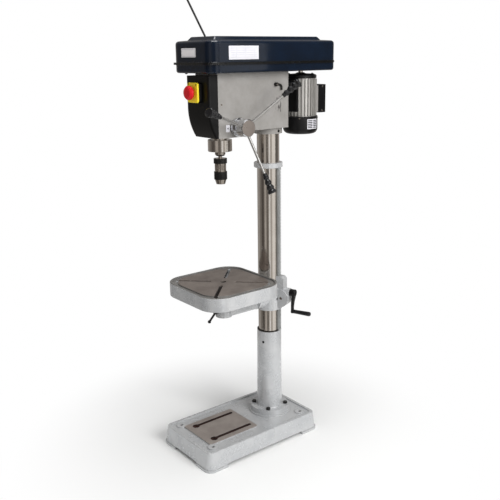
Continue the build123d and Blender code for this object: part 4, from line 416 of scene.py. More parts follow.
@dataclass(frozen=True)
class Zone:
    """A stretch of a casting that shows another tone, such as a machined pad.

    Attributes:
        tone: What shows there.
        middle: Its middle, across and up, in metres.
        half: Half its width and height.
        corner: Radius of its corners.
        depths: Least and most depth of the surface.
        facing: Which way the surface looks.
        streak_mm: Width of the streaks that the zone breaks up into, or 0 for an even zone.
        streak_share: How much of the zone the streaks leave clear.
        streak_draw: How fine the streaks are across, up and in depth; a quarter is four times as long.
    """

    tone: Tone
    middle: tuple[float, float]
    half: tuple[float, float]
    corner: float
    depths: tuple[float, float]
    facing: Facing = Facing.UP
    streak_mm: float = 0.0
    streak_share: float = 0.56
    streak_draw: tuple[float, float, float] = (1.0, 0.25, 1.0)

    def mask(self, tree: Tree, place: Socket) -> Socket:
        """Builds the nodes that tell whether a point is in the zone.

        Args:
            tree: The material's tree.
            place: Object coordinates.

        Returns:
            1 inside and 0 outside.
        """
        axes = add_node(tree, "ShaderNodeSeparateXYZ", inputs={0: place}).outputs
        across, up, depth = (axes[name] for name in self.facing.value)
        flat = add_node(tree, "ShaderNodeCombineXYZ", inputs={0: across, 1: up}).outputs[0]
        shift = {0: flat, 1: (*self.middle, 0.0)}
        centred = add_node(tree, "ShaderNodeVectorMath", {"operation": "SUBTRACT"}, shift).outputs["Vector"]
        # How far a point lies beyond the rectangle that the round corners are drawn about
        core = (self.half[0] - self.corner, self.half[1] - self.corner, 0.0)
        beyond = centred
        for operation, other in (("ABSOLUTE", ORIGIN), ("SUBTRACT", core), ("MAXIMUM", ORIGIN)):
            step = add_node(tree, "ShaderNodeVectorMath", {"operation": operation}, {0: beyond, 1: other})
            beyond = step.outputs["Vector"]
        reach = add_node(tree, "ShaderNodeVectorMath", {"operation": "LENGTH"}, {0: beyond}).outputs["Value"]
        tests = [
            ("LESS_THAN", reach, self.corner),
            ("GREATER_THAN", depth, self.depths[0]),
            ("LESS_THAN", depth, self.depths[1]),
        ]
        if self.streak_mm:
            drawn = add_node(tree, "ShaderNodeMapping", inputs={"Vector": centred, "Scale": self.streak_draw})
            pattern = {
                "Vector": drawn.outputs["Vector"],
                "Scale": 1 / (self.streak_mm * MM),
                "Detail": STREAK_DETAIL,
            }
            streaks = add_node(tree, "ShaderNodeTexNoise", inputs=pattern).outputs["Fac"]
            tests.append(("GREATER_THAN", streaks, self.streak_share))
        inside: Socket | float = 1.0
        for operation, value, limit in tests:
            passed = add_node(tree, "ShaderNodeMath", {"operation": operation}, {0: value, 1: limit})
            both = {0: inside, 1: passed.outputs["Value"]}
            inside = add_node(tree, "ShaderNodeMath", {"operation": "MULTIPLY"}, both).outputs["Value"]
        return inside


@dataclass(frozen=True)
class Finish:
    """One real material: its tones, gloss and surface grain.

    Attributes:
        name: Common name of the material and how its surface was made.
        tone: Its colour and gloss.
        zones: Stretches that show another tone; where two meet, the later one shows.
        patch_mm: Size of the soft patches of the second tone.
        grain_mm: Size of the surface grain.
        grain_depth_mm: Height of the grain.
        stretch: How much finer the grain is along X, Y and Z, for brushed or turned lines.
        edge_mm: How far edges look rounded.
        wear: Tone that rubbed edges show, sRGB hex.
        wear_share: How much of an edge is rubbed.
        specular: Strength of the mirror image on a surface that isn't metal.
    """

    name: str
    tone: Tone
    zones: tuple[Zone, ...] = ()
    patch_mm: float = 70.0
    grain_mm: float = 1.6
    grain_depth_mm: float = 0.02
    stretch: tuple[float, float, float] = (1.0, 1.0, 1.0)
    edge_mm: float = 1.2
    wear: str = ""
    wear_share: float = 0.0
    specular: float = 0.5

    def material(self) -> bpy.types.Material:
        """Builds the material, with its nodes.

        Returns:
            The material.
        """
        material = bpy.data.materials.new(self.name)
        tree = cleared(material)
        place = add_node(tree, "ShaderNodeTexCoord").outputs["Object"]
        pattern = {
            "Vector": place,
            "Scale": 1 / (self.patch_mm * MM),
            "Detail": PATCH_DETAIL,
            "Roughness": PATCH_ROUGHNESS,
        }
        patches = add_node(tree, "ShaderNodeTexNoise", inputs=pattern).outputs["Fac"]
        colour, rough = self.tone.nodes(tree, patches)
        metal: Socket | float = self.tone.metallic
        for zone in self.zones:
            mask = zone.mask(tree, place)
            zone_colour, zone_rough = zone.tone.nodes(tree, patches)
            tones = {MIX_FACTOR: mask, MIX_A: colour, MIX_B: zone_colour}
            colour = add_node(tree, "ShaderNodeMix", {"data_type": "RGBA"}, tones).outputs[MIX_RESULT]
            gloss = {"Value": mask, "To Min": rough, "To Max": zone_rough}
            rough = add_node(tree, "ShaderNodeMapRange", inputs=gloss).outputs["Result"]
            # Where all zones are as metallic as the rest, the number stays on the shader itself
            if metal != zone.tone.metallic:
                shine = {"Value": mask, "To Min": metal, "To Max": zone.tone.metallic}
                metal = add_node(tree, "ShaderNodeMapRange", inputs=shine).outputs["Result"]
        bevel = add_node(tree, "ShaderNodeBevel", {"samples": EDGE_SAMPLES}, {"Radius": self.edge_mm * MM})
        soft = bevel.outputs["Normal"]
        if self.wear:
            colour = self.rub_edges(tree, colour, soft, patches)
        values = {
            "Base Color": colour,
            "Roughness": rough,
            "Metallic": metal,
            "Normal": self.grain(tree, place, soft),
            "Specular IOR Level": self.specular,
        }
        shader = add_node(tree, "ShaderNodeBsdfPrincipled", inputs=values)
        add_node(tree, "ShaderNodeOutputMaterial", inputs={"Surface": shader.outputs["BSDF"]})
        return material

    def grain(self, tree: Tree, place: Socket, soft: Socket) -> Socket:
        """Lays the surface grain over the soft edges.

        Args:
            tree: The material's tree.
            place: Object coordinates.
            soft: Normals rounded at edges.

        Returns:
            The finished normals.
        """
        drawn = add_node(tree, "ShaderNodeMapping", inputs={"Vector": place, "Scale": self.stretch})
        pattern = {
            "Vector": drawn.outputs["Vector"],
            "Scale": 1 / (self.grain_mm * MM),
            "Detail": GRAIN_DETAIL,
        }
        height = add_node(tree, "ShaderNodeTexNoise", inputs=pattern).outputs["Fac"]
        bump = {"Strength": 1.0, "Distance": self.grain_depth_mm * MM, "Height": height, "Normal": soft}
        return add_node(tree, "ShaderNodeBump", inputs=bump).outputs["Normal"]

    def rub_edges(self, tree: Tree, colour: Socket, soft: Socket, patches: Socket) -> Socket:
        """Mixes the wear tone in along edges, more in some patches than in others.

        Args:
            tree: The material's tree.
            colour: The colour so far.
            soft: Normals rounded at edges.
            patches: The patch noise.

        Returns:
            The colour with rubbed edges.
        """
        flat = add_node(tree, "ShaderNodeNewGeometry").outputs["Normal"]
        alike = add_node(tree, "ShaderNodeVectorMath", {"operation": "DOT_PRODUCT"}, {0: soft, 1: flat})
        # The patches are about a half on average, so the share is doubled first
        span = {
            "Value": alike.outputs["Value"],
            "From Min": RUB_SPAN[0],
            "From Max": RUB_SPAN[1],
            "To Max": self.wear_share * 2,
        }
        edge = add_node(tree, "ShaderNodeMapRange", inputs=span).outputs["Result"]
        settings = {"operation": "MULTIPLY", "use_clamp": True}
        share = add_node(tree, "ShaderNodeMath", settings, {0: edge, 1: patches}).outputs["Value"]
        tones = {MIX_FACTOR: share, MIX_A: colour, MIX_B: srgb(self.wear)}
        return add_node(tree, "ShaderNodeMix", {"data_type": "RGBA"}, tones).outputs[MIX_RESULT]


# Tones, wear and grain that more than one finish shows
SILVER = Tone("#C8C9CA", "#B8BABC", 0.26, metallic=0.25)
CHROME = Tone("#D2D3D5", "#C4C5C8", 0.1, metallic=1.0, gloss_spread=0.03)
RUBBED_ENAMEL = "#8E8E8C"
# Tool marks round a piece, drawn coarser than the real ones so that they show
TURNED_LINES = (0.05, 0.05, 1.0)

# Painted shade in the slots and under the plate, grey trough, worn lip and ground plate of the table
TABLE_MIDDLE = (0.0, TABLE_Y)
PLATE_HALF = (0.1572, 0.1572)
PLATE_CORNER = 0.092
TABLE_ZONES = (
    # Dark brown in the slots and on the plate's underside: painted shade
    Zone(Tone("#3A332F", "#292422", 0.5), TABLE_MIDDLE, PLATE_HALF, PLATE_CORNER, (0.64, 0.7157)),
    Zone(Tone("#7E7C79", "#686664", 0.36), TABLE_MIDDLE, (0.1715, 0.1715), 0.076, (0.7157, 0.7197)),
    Zone(
        Tone("#83827F", "#6B6A68", 0.34, metallic=0.4), TABLE_MIDDLE, (0.1792, 0.1792), 0.0832,
        (0.7199, 0.73),
    ),
    Zone(
        Tone("#857B74", "#6E6560", 0.4, metallic=0.35), TABLE_MIDDLE, PLATE_HALF, PLATE_CORNER,
        (0.7167, 0.73),
    ),
)
# Ground pad of the base, painted shade in its slots, and the red primer under it, darkened as painted shade
PAD_MIDDLE = (0.0, -0.112)
BASE_ZONES = (
    Zone(Tone("#A69D97", "#8F8680", 0.42, metallic=0.3), PAD_MIDDLE, (0.098, 0.124), 0.010, (0.0785, 0.09)),
    # Near-black slot walls: painted shade
    Zone(Tone("#2E2220", "#1F1716", 0.5), PAD_MIDDLE, (0.095, 0.121), 0.010, (0.0745, 0.0795)),
    # Red-brown primer inside the hollow, darkened as painted shade
    Zone(Tone("#4A2E28", "#38231F", 0.6), (0.0, 0.0), (0.157, 0.283), 0.02, (-0.01, 0.0745)),
)
# Oil round the column's foot
PEDESTAL_ZONES = (
    Zone(Tone("#2A2725", "#1E1C1B", 0.35), (0.0, COLUMN_Y), (0.06, 0.06), 0.06, (0.4575, 0.47)),
)
# Dark streaks on the head's side, under the lock lever
HEAD_ZONES = (
    Zone(
        Tone("#5A5654", "#3E3B3A", 0.45), (0.155, 1.422), (0.016, 0.032), 0.012, (0.071, 0.073), Facing.RIGHT,
        streak_mm=7.0,
    ),
)
# Faced end of the feed hub
HUB_FACE = 0.0298
HUB_ZONES = (
    Zone(
        Tone("#948C86", "#857D78", 0.3, metallic=0.9), (FEED_Y, FEED_Z), (HUB_FACE, HUB_FACE), HUB_FACE,
        (0.1395, 0.141), Facing.RIGHT,
    ),
)
# Black rim where lid and tray of the belt guard meet
GUARD_ZONES = (Zone(Tone("#08090A", "#0B0C0D", 0.25), (0.0, 0.103), (0.2, 0.4), 0.02, (1.5768, 1.5856)),)

FINISHES: dict[str, Finish] = {
    # Cast iron under silver-grey enamel: soft sand-cast dimples, cool grey, a dull gloss
    "silver_enamel": Finish(
        "silver_enamel_on_cast_iron", SILVER, grain_mm=3.5, grain_depth_mm=0.05, wear=RUBBED_ENAMEL,
        wear_share=0.25,
    ),
    # The same enamel round the table's ground plate, with painted shade in its slots and under the plate
    "table_enamel": Finish(
        "silver_enamel_ground_iron_and_painted_shade", SILVER, TABLE_ZONES, grain_mm=2.5, grain_depth_mm=0.03,
        edge_mm=1.6, wear=RUBBED_ENAMEL, wear_share=0.15,
    ),
    # The same enamel round the base's ground pad, with painted shade in its slots, over red primer inside
    # that is darkened as painted shade
    "base_enamel": Finish(
        "silver_enamel_and_primer_with_painted_shade", SILVER, BASE_ZONES, grain_mm=3.5, grain_depth_mm=0.08,
        edge_mm=3.0, wear=RUBBED_ENAMEL, wear_share=0.12,
    ),
    # The same enamel with an oily ring where the column goes in
    "socket_enamel": Finish(
        "silver_enamel_with_oiled_rim", SILVER, PEDESTAL_ZONES, grain_mm=3.5, grain_depth_mm=0.05,
    ),
    # The head's enamel is warmer and smoother, with dark streaks under the lock lever
    "warm_enamel": Finish(
        "warm_grey_enamel_on_cast_iron", Tone("#999693", "#898682", 0.34), HEAD_ZONES, grain_mm=4.0,
        grain_depth_mm=0.03,
    ),
    # Ground tube: bright, with lines round it
    "ground_steel": Finish(
        "ground_steel", Tone("#D2CDC7", "#C6C0B9", 0.14, metallic=1.0), grain_mm=1.2, grain_depth_mm=0.004,
        stretch=TURNED_LINES, edge_mm=0.6,
    ),
    # Milled bar: greyer and duller than the tube beside it
    "milled_steel": Finish(
        "milled_steel", Tone("#B4B6B5", "#9EA09F", 0.38, metallic=0.25), grain_mm=1.0, edge_mm=0.4,
    ),
    # Turned bar: darker than the tube, with tool marks round it
    "turned_steel": Finish(
        "turned_steel", Tone("#B4ADA5", "#9A938B", 0.24, metallic=1.0), grain_mm=0.8, grain_depth_mm=0.008,
        stretch=TURNED_LINES, edge_mm=0.5,
    ),
    # Bright plate: a clear mirror image, a little wavy
    "chrome": Finish("bright_chrome_plate", CHROME, grain_mm=6.0, grain_depth_mm=0.01, edge_mm=0.6),
    # The hub's end is faced off: duller and browner than the plate round it
    "chrome_hub": Finish(
        "chrome_plate_and_faced_steel", CHROME, HUB_ZONES, grain_mm=6.0, grain_depth_mm=0.01, edge_mm=0.6,
    ),
    # Plated rods, polished less than the hub
    "chrome_rod": Finish(
        "plated_steel_rod", Tone("#C2C1BF", "#B0AFAD", 0.3, metallic=0.85), grain_mm=3.0, grain_depth_mm=0.01,
        edge_mm=0.6,
    ),
    # Blackened steel: a soft grey sheen
    "black_oxide": Finish(
        "black_oxide_steel", Tone("#232323", "#2E2D2B", 0.42, metallic=0.7), grain_mm=0.8, edge_mm=0.6,
    ),
    # Black paint on iron and sheet: even, with half a gloss
    "black_enamel": Finish(
        "semi_gloss_black_enamel", Tone("#0D0D0E", "#131314", 0.32), grain_mm=2.0, edge_mm=2.0, specular=0.24,
    ),
    # Moulded shell: fine spark-eroded texture, which light greys, drawn coarser than it is so that it shows
    "black_abs": Finish(
        "textured_black_abs", Tone("#0A0A0B", "#0F0F10", 0.4), grain_mm=0.9, grain_depth_mm=0.04, edge_mm=2.0,
        specular=0.18,
    ),
    # Moulded grips: smooth and shiny, nearly black
    "bakelite": Finish(
        "moulded_black_phenolic", Tone("#121214", "#19191C", 0.2), grain_mm=2.5, grain_depth_mm=0.01,
    ),
    # Gloss enamel on pressed sheet: deep blue, with a mirror image only at its edges, and a black rim
    "navy_enamel": Finish(
        "gloss_navy_enamel_on_sheet_steel", Tone("#0D1929", "#0A1421", 0.1), GUARD_ZONES, grain_mm=5.0,
        edge_mm=5.0, specular=0.38,
    ),
    # Cast ribs, greyed by handling
    "cast_aluminium": Finish(
        "die_cast_aluminium", Tone("#B5B3AF", "#A3A19D", 0.4, metallic=0.5), grain_mm=1.2,
        grain_depth_mm=0.03,
    ),
    # Pulleys: pale metal with turned lines
    "turned_aluminium": Finish(
        "turned_aluminium", Tone("#C8C8C9", "#B5B5B7", 0.28, metallic=1.0), grain_mm=0.8, grain_depth_mm=0.01,
        stretch=TURNED_LINES,
    ),
    # Belts and cord: dull black, a little dusty
    "rubber": Finish("black_rubber", Tone("#1B1B1C", "#242425", 0.62), grain_mm=0.7, edge_mm=0.5),
    # Switch flap: bright yellow with a fine texture
    "yellow_abs": Finish(
        "yellow_abs", Tone("#FFE838", "#F6DC2E", 0.34), grain_mm=1.2, grain_depth_mm=0.015, specular=0.3,
    ),
    # Stop button: clear signal red, half glossy
    "red_abs": Finish(
        "red_abs", Tone("#D81C27", "#CA1620", 0.34), grain_mm=1.2, grain_depth_mm=0.015, specular=0.25,
    ),
    # Start button: a deeper green, a little glossier
    "green_abs": Finish("green_abs", Tone("#1F8A3C", "#187532", 0.32), grain_mm=1.2, grain_depth_mm=0.015),
    # Printed plates: white with a hint of blue
    "plate_white": Finish(
        "white_printed_aluminium", Tone("#DCDBDF", "#D2D1D7", 0.4), patch_mm=25.0, grain_mm=0.8, edge_mm=0.3,
    ),
    # The front plate is painted whiter than the others: painted light that lifts it in the guard's shade
    "shade_lifted_white": Finish(
        "white_plate_lifted_against_shade", Tone("#FBF7F7", "#F3EFEF", 0.4), patch_mm=25.0, grain_mm=0.8, edge_mm=0.3,
    ),
    # Dark rules: dull ink, nearly black
    "plate_ink": Finish(
        "printing_ink", Tone("#3A3B40", "#303136", 0.45), patch_mm=20.0, grain_mm=0.6, edge_mm=0.1,
    ),
    # Faded rules: pale grey, uneven
    "pale_ink": Finish(
        "faded_ink", Tone("#A9AAB4", "#B9BAC2", 0.45), patch_mm=8.0, grain_mm=0.6, edge_mm=0.1,
    ),
}

NODE_FINISHES: dict[str, list[str]] = {
    "silver_enamel": ["rack_ring", "table_bracket", "table_arm"],
    "base_enamel": ["base_casting"],
    "table_enamel": ["table"],
    "socket_enamel": ["pedestal"],
    "warm_enamel": ["head_casting"],
    "ground_steel": ["column", "quill", "worm_shaft", "lift_gear", "motor_rotor", "drive_sleeve"],
    "milled_steel": ["rack"],
    "turned_steel": [
        "spindle", "chuck_arbor", "chuck_body", "chuck_jaw_1", "chuck_jaw_2", "chuck_jaw_3", "idler_post",
        "lid_hinge_pins", "quill_bearings", "sleeve_bearings", "return_spring", "feed_shaft", "cord_hanger",
    ],
    "chrome": ["depth_ring"],
    "chrome_hub": ["feed_hub"],
    "chrome_rod": ["feed_levers"],
    "black_oxide": [
        "chuck_ring", "chuck_sleeve", "column_clamp_lever", "table_clamp_lever", "tension_lock_lever",
        "pedestal_bolts", "tilt_bolt",
    ],
    "black_enamel": ["crank_arm", "motor_fan_cover", "motor_end_cap", "motor_bracket", "spring_housing"],
    "black_abs": ["front_cover", "terminal_box", "cable_gland", "switch_box"],
    "bakelite": ["feed_grips", "crank_handle"],
    "navy_enamel": ["guard_tray", "guard_lid"],
    "cast_aluminium": ["motor_frame"],
    "turned_aluminium": ["spindle_pulley", "idler_pulley", "motor_pulley"],
    "rubber": ["drive_belts"],
    "yellow_abs": ["switch_flap"],
    "red_abs": ["stop_button"],
    "green_abs": ["start_button"],
}


class Palette:
    """Builds each finish once and hands out its material."""

    def __init__(self) -> None:
        """Starts with no materials built."""
        self.made: dict[str, bpy.types.Material] = {}

    def get(self, name: str) -> bpy.types.Material:
        """Finds the material of a finish, and builds it at first use.

        Args:
            name: The finish.

        Returns:
            Its material.
        """
        if name not in self.made:
            self.made[name] = FINISHES[name].material()
        return self.made[name]

    def dress(self, nodes: Nodes) -> None:
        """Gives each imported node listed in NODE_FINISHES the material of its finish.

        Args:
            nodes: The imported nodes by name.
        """
        for finish, names in NODE_FINISHES.items():
            for name in names:
                mesh = nodes[name].data
                mesh.materials.clear()
                mesh.materials.append(self.get(finish))
                LOG.info("%s: %s", name, finish)


@dataclass
class BeltGuard:
    """The pressed guard over the belts: a lid with a low crown on a tray, which meet at a rim.

    Attributes:
        span: Its front and back.
        corners: Radius of its front and back corners.
        parting: Where the lid meets the tray.
        edge: Height of the lid's shoulder.
        top: Height of the crown.
        crown_inset: How far the crown stands in from the sides.
        crown_run: How far the crown's side leans in.
        least_corner: Smallest corner radius of the crown.
        rim: How far the rim stands out.
        rim_thick: Thickness of the rim.
        wall: Thickness of the sheet.
        fold: Radius of the tray's fold.
        shoulder: Radius of the lid's fold.
        gap: Gap between lid and tray.
        opening: Half width, front, back and corner radius of the tray's inside.
        hinge: Depth and height of the hinge line: its Y and Z.
        hinge_x: How far to each side the hinges are.
        hinge_half: Half the length of a lid knuckle.
        hinge_radius: Radius of a knuckle.
        hinge_turns: Start, end and step of the points round a knuckle, in degrees.
    """

    span: tuple[float, float] = (GUARD_FRONT, 411 * MM)
    corners: tuple[float, float] = (45 * MM, 25 * MM)
    parting: float = 1581 * MM
    edge: float = 1662 * MM
    top: float = 1677 * MM
    crown_inset: float = 52 * MM
    crown_run: float = 9 * MM
    least_corner: float = 9 * MM
    rim: float = 9.4 * MM
    rim_thick: float = 4 * MM
    wall: float = 2.5 * MM
    fold: float = 9 * MM
    shoulder: float = 13 * MM
    gap: float = 0.3 * MM
    opening: tuple[float, float, float, float] = (115.5 * MM, -183 * MM, 395.5 * MM, 32 * MM)
    hinge: tuple[float, float] = (417.4 * MM, 1581 * MM)
    hinge_x: float = 70 * MM
    hinge_half: float = 5.7 * MM
    hinge_radius: float = 5 * MM
    hinge_turns: tuple[int, int, int] = (-170, 95, 15)

    def outline(self, grow: float) -> Outline:
        """Draws the guard's outline moved out, but never out past the hinges.

        Args:
            grow: How far out it is moved.

        Returns:
            Its points.
        """
        front, back = (max(corner + grow, self.least_corner) for corner in self.corners)
        side = GUARD_SIDE + grow
        return rounded((-side, side), (self.span[0] - grow, self.span[1] + min(grow, 0.0)), (front, back))

    def folded(self, height: float, radius: float, up: int, steps: int = 5) -> list[tuple[Outline, float]]:
        """Rolls the sheet's edge over.

        Args:
            height: Where the flat that it rolls into is.
            radius: Radius of the fold.
            up: 1 for the lid's shoulder, -1 for the tray's lower edge.
            steps: Steps round the fold.

        Returns:
            Outlines with their heights, from the wall to the flat.
        """
        angles = [math.radians(90 * step / steps) for step in range(steps + 1)]
        return [
            (self.outline(-radius * (1 - math.cos(angle))), height - up * radius * (1 - math.sin(angle)))
            for angle in angles
        ]

    def build(self, palette: Palette) -> None:
        """Makes the lid and the tray's outer skin.

        Args:
            palette: The finishes.
        """
        paint = palette.get("navy_enamel")
        base = self.parting + self.gap
        inside = -self.crown_inset - self.wall
        levels = [
            (self.outline(inside), self.top - self.wall),
            (self.outline(inside + self.crown_run), self.edge),
            (self.outline(-self.shoulder - self.wall), self.edge - self.wall),
            (self.outline(-self.wall), self.edge - self.shoulder),
            (self.outline(-self.wall), base),
            (self.outline(self.rim), base),
            (self.outline(self.rim), base + self.rim_thick),
            (self.outline(0.0), base + self.rim_thick),
            *self.folded(self.edge, self.shoulder, 1),
            (self.outline(self.crown_run - self.crown_inset), self.edge + self.wall),
            (self.outline(-self.crown_inset), self.top - self.wall / 2),
            (self.outline(inside), self.top),
        ]
        lid = bmesh.new()
        skin(lid, levels)
        for side in (-1, 1):
            self.knuckle(lid, side * self.hinge_x)
        declare(to_object("belt_guard_lid", lid, [paint]), "lid", "guard_lid")
        half, front, back, corner = self.opening
        inner = rounded((-half, half), (front, back), (corner, corner))
        top = self.parting + self.gap / 3
        levels = [
            (inner, top),
            (self.outline(self.rim), top),
            (self.outline(self.rim), top - self.rim_thick),
            (self.outline(0.0), top - self.rim_thick),
            *self.folded(TRAY_LOW, self.fold, -1),
            (inner, TRAY_LOW),
        ]
        tray = bmesh.new()
        skin(tray, levels, ring=True)
        declare(to_object("belt_guard_tray_skin", tray, [paint]), "stand")

    def knuckle(self, mesh: bmesh.types.BMesh, middle: float) -> None:
        """Adds one of the lid's hinge knuckles, with its tab to the rim.

        Args:
            mesh: The lid's mesh.
            middle: Its middle, along X.
        """
        y, z = self.hinge
        low, high = z + self.gap, z + self.gap + self.rim_thick
        root = self.span[1] - self.rim
        angles = [math.radians(turn) for turn in range(*self.hinge_turns)]
        barrel = [(y + self.hinge_radius * math.cos(a), z + self.hinge_radius * math.sin(a)) for a in angles]
        profile = [(root, high), (root, low), (y - self.hinge_radius, low), *barrel]
        ends = (middle - self.hinge_half, middle + self.hinge_half)
        skin(mesh, [(profile, x) for x in ends], place=lambda a, b, x: Vector((x, a, b)))


@dataclass
class HeadRim:
    """The rim on the head's top, which carries the tray of the belt guard.

    Attributes:
        span: Its front and back.
        corners: Radius of its front and back corners.
        low: Where it starts, on the head's side.
        wall: Its thickness.
        lap: How far it stands proud of the head's side.
    """

    span: tuple[float, float] = (-138 * MM, 210 * MM)
    corners: tuple[float, float] = (1 * MM, 7 * MM)
    low: float = 1532 * MM
    wall: float = 8 * MM
    lap: float = 0.1 * MM

    def build(self, palette: Palette) -> None:
        """Makes the rim as a closed ring.

        Args:
            palette: The finishes.
        """
        side, (front, back) = HEAD_SIDE + self.lap, self.span
        hollow = side - self.wall
        outer = rounded((-side, side), (front, back + self.lap), self.corners)
        inner = rounded((-hollow, hollow), (front + self.wall, back - self.wall), (self.wall, self.wall))
        mesh = bmesh.new()
        skin(mesh, [(outer, self.low), (outer, TRAY_LOW), (inner, TRAY_LOW), (inner, self.low)], ring=True)
        declare(to_object("head_rim", mesh, [palette.get("warm_enamel")]), "stand")


@dataclass
class DrillTable:
    """The square work table: deep skirt, round corners, coolant trough and crossed slots.

    Attributes:
        half: Half its side.
        corner: Radius of its corners.
        top: Height of its plate.
        skirt: Depth of its skirt.
        plate: Thickness of the plate.
        wall: Thickness of the skirt.
        lip: Width of the trough's outer lip.
        trough: Width of the trough.
        depth: Depth of the trough.
        slot_width: Width of the slots.
        slot_ends: Where a slot starts and ends, from the middle.
        bore: Radius of the hole through it.
        boss: Radius and underside of its boss.
        stem: Radius and underside of the stem in the arm.
        rib: Thickness and depth of its ribs.
        rib_start: Where a rib starts, from the middle.
        rib_edge: Radius of a rib's edges, and how far it goes into the plate.
        edge: Size of the small bevels.
    """

    half: float = 180 * MM
    corner: float = 84 * MM
    top: float = 721 * MM
    skirt: float = 55 * MM
    plate: float = 18 * MM
    wall: float = 12 * MM
    lip: float = 8 * MM
    trough: float = 13 * MM
    depth: float = 5 * MM
    slot_width: float = 15 * MM
    slot_ends: tuple[float, float] = (48 * MM, 196 * MM)
    bore: float = 13 * MM
    boss: tuple[float, float] = (42 * MM, 650 * MM)
    stem: tuple[float, float] = (24 * MM, 576 * MM)
    rib: tuple[float, float] = (10 * MM, 30 * MM)
    rib_start: float = 37.8 * MM
    rib_edge: float = 1 * MM
    edge: float = 1.2 * MM

    def outline(self, inset: float, corner: float) -> Outline:
        """Returns a square with round corners this far in from the table's side."""
        half = self.half - inset
        return rounded((-half, half), (TABLE_Y - half, TABLE_Y + half), (corner, corner), 14)

    def hole(self, radius: float) -> Outline:
        """Returns a circle about the table's middle."""
        return ring_outline(circle(radius), 48, TABLE_MIDDLE)

    def casting(self) -> bpy.types.Object:
        """Makes the table before its slots are cut.

        Returns:
            The table's object.
        """
        foot, under, floor = self.top - self.skirt, self.top - self.plate, self.top - self.depth
        inner = self.outline(self.wall, self.corner - self.wall)
        side = self.outline(0.0, self.corner)
        bevel = self.outline(self.edge, self.corner - self.edge)
        bank = self.outline(self.lip + self.edge, self.corner - self.lip)
        shore = self.lip + self.trough + 2 * self.edge
        plate_side = self.outline(shore - self.edge, PLATE_CORNER)
        levels = [
            (inner, under),
            (inner, foot),
            (bevel, foot),
            (side, foot + self.edge),
            (side, self.top - self.edge),
            (bevel, self.top),
            (self.outline(self.lip, self.corner - self.lip), self.top),
            (bank, self.top - self.edge),
            (bank, floor),
            (plate_side, floor),
            (plate_side, self.top - self.edge / 2),
            (self.outline(shore, PLATE_CORNER), self.top),
        ]
        mesh = bmesh.new()
        skin(mesh, levels)
        return to_object("table_casting", mesh, [])

    def cutter(self) -> bpy.types.Object:
        """Makes the slots and the bore as solids.

        Returns:
            Their object.
        """
        mesh = bmesh.new()
        radius = self.slot_width / 2
        heights = (self.top - 2 * self.plate, self.top + self.plate)
        slot = rounded(self.slot_ends, (-radius, radius), (radius, radius))
        shift = Vector((*TABLE_MIDDLE, 0.0))
        for quarter in range(4):
            turn = Matrix.Rotation(math.radians(45 + 90 * quarter), 3, "Z")
            levels = [(slot, height) for height in heights]
            skin(mesh, levels, place=lambda x, y, z, turn=turn: turn @ Vector((x, y, z)) + shift)
        skin(mesh, [(self.hole(self.bore), height) for height in heights])
        return to_object("table_cutter", mesh, [])

    def build(self, palette: Palette) -> None:
        """Args:
            palette: The finishes.
        """
        casting, cutter = self.casting(), self.cutter()
        cut = casting.modifiers.new("cut_slots", "BOOLEAN")
        cut.object = cutter
        cut.solver = "EXACT"
        mesh = bmesh.new()
        mesh.from_mesh(settled(casting))
        bpy.data.objects.remove(cutter)
        under = self.top - self.plate
        bore = self.hole(self.bore)
        for (radius, low), high in ((self.boss, under), (self.stem, self.boss[1])):
            wide = self.hole(radius)
            skin(mesh, [(wide, low), (wide, high), (bore, high), (bore, low)], ring=True)
        thick, deep = self.rib
        sides = (-thick / 2, thick / 2)
        corners = (self.rib_edge, self.rib_edge)
        for sign in (-1, 1):
            near, far = sorted((sign * self.rib_start, sign * (self.half - self.wall / 2)))
            along_x = rounded((near, far), (TABLE_Y + sides[0], TABLE_Y + sides[1]), corners, 2)
            along_y = rounded(sides, (TABLE_Y + near, TABLE_Y + far), corners, 2)
            for rib in (along_x, along_y):
                skin(mesh, [(rib, under - deep), (rib, under + self.rib_edge)])
        table = to_object("work_table", mesh, [palette.get("table_enamel")])
        declare(table, "table", "table")


@dataclass
class LockLever:
    """The belt tension lock: a bright screw end with a hooked lever.

    Attributes:
        root: Where its hub leaves the head.
        hub: Distances out from the root and the hub's radius there, in millimetres.
        screw: The same for the screw's end.
        way: The lever's bends, as along Y and up from the root.
        way_out: How far out from the root the lever bends.
        radius: Radius of the lever.
    """

    root: tuple[float, float, float] = (72.3 * MM, 139 * MM, 1498 * MM)
    hub: Profile = ((0.0, 6.0), (1.2, 7.5), (10.2, 7.5), (12.0, 6.375), (12.0, 4.5), (10.8, 4.5))
    screw: Profile = ((6.0, 3.75), (13.2, 3.75), (13.8, 3.0))
    way: tuple[tuple[float, float], ...] = (
        (0.0, 0.0), (9 * MM, 1 * MM), (21 * MM, -1 * MM), (28 * MM, -9 * MM), (27 * MM, -22 * MM),
    )
    way_out: float = 6 * MM
    radius: float = 3.4 * MM

    def place(self, along: float, up: float, out: float) -> Vector:
        """Returns the point this far along Y, up and out from the root."""
        return Vector(self.root) + Vector((out, along, up))

    def build(self, palette: Palette) -> None:
        """Makes the hub and the bent lever as one piece.

        Args:
            palette: The finishes.
        """
        mesh = bmesh.new()
        lathe(mesh, self.hub, self.place, 32)
        lathe(mesh, self.screw, self.place, 32, material=1)
        route = [tuple(self.place(along, up, self.way_out)) for along, up in self.way]
        rod = bent_rod("lock_lever_way", route, self.radius, roundness=4, steps=12)
        mesh.from_mesh(settled(rod))
        lever = to_object("lock_lever", mesh, [palette.get("black_oxide"), palette.get("turned_steel")])
        declare(lever, "motor_lock", "tension_lock_lever")


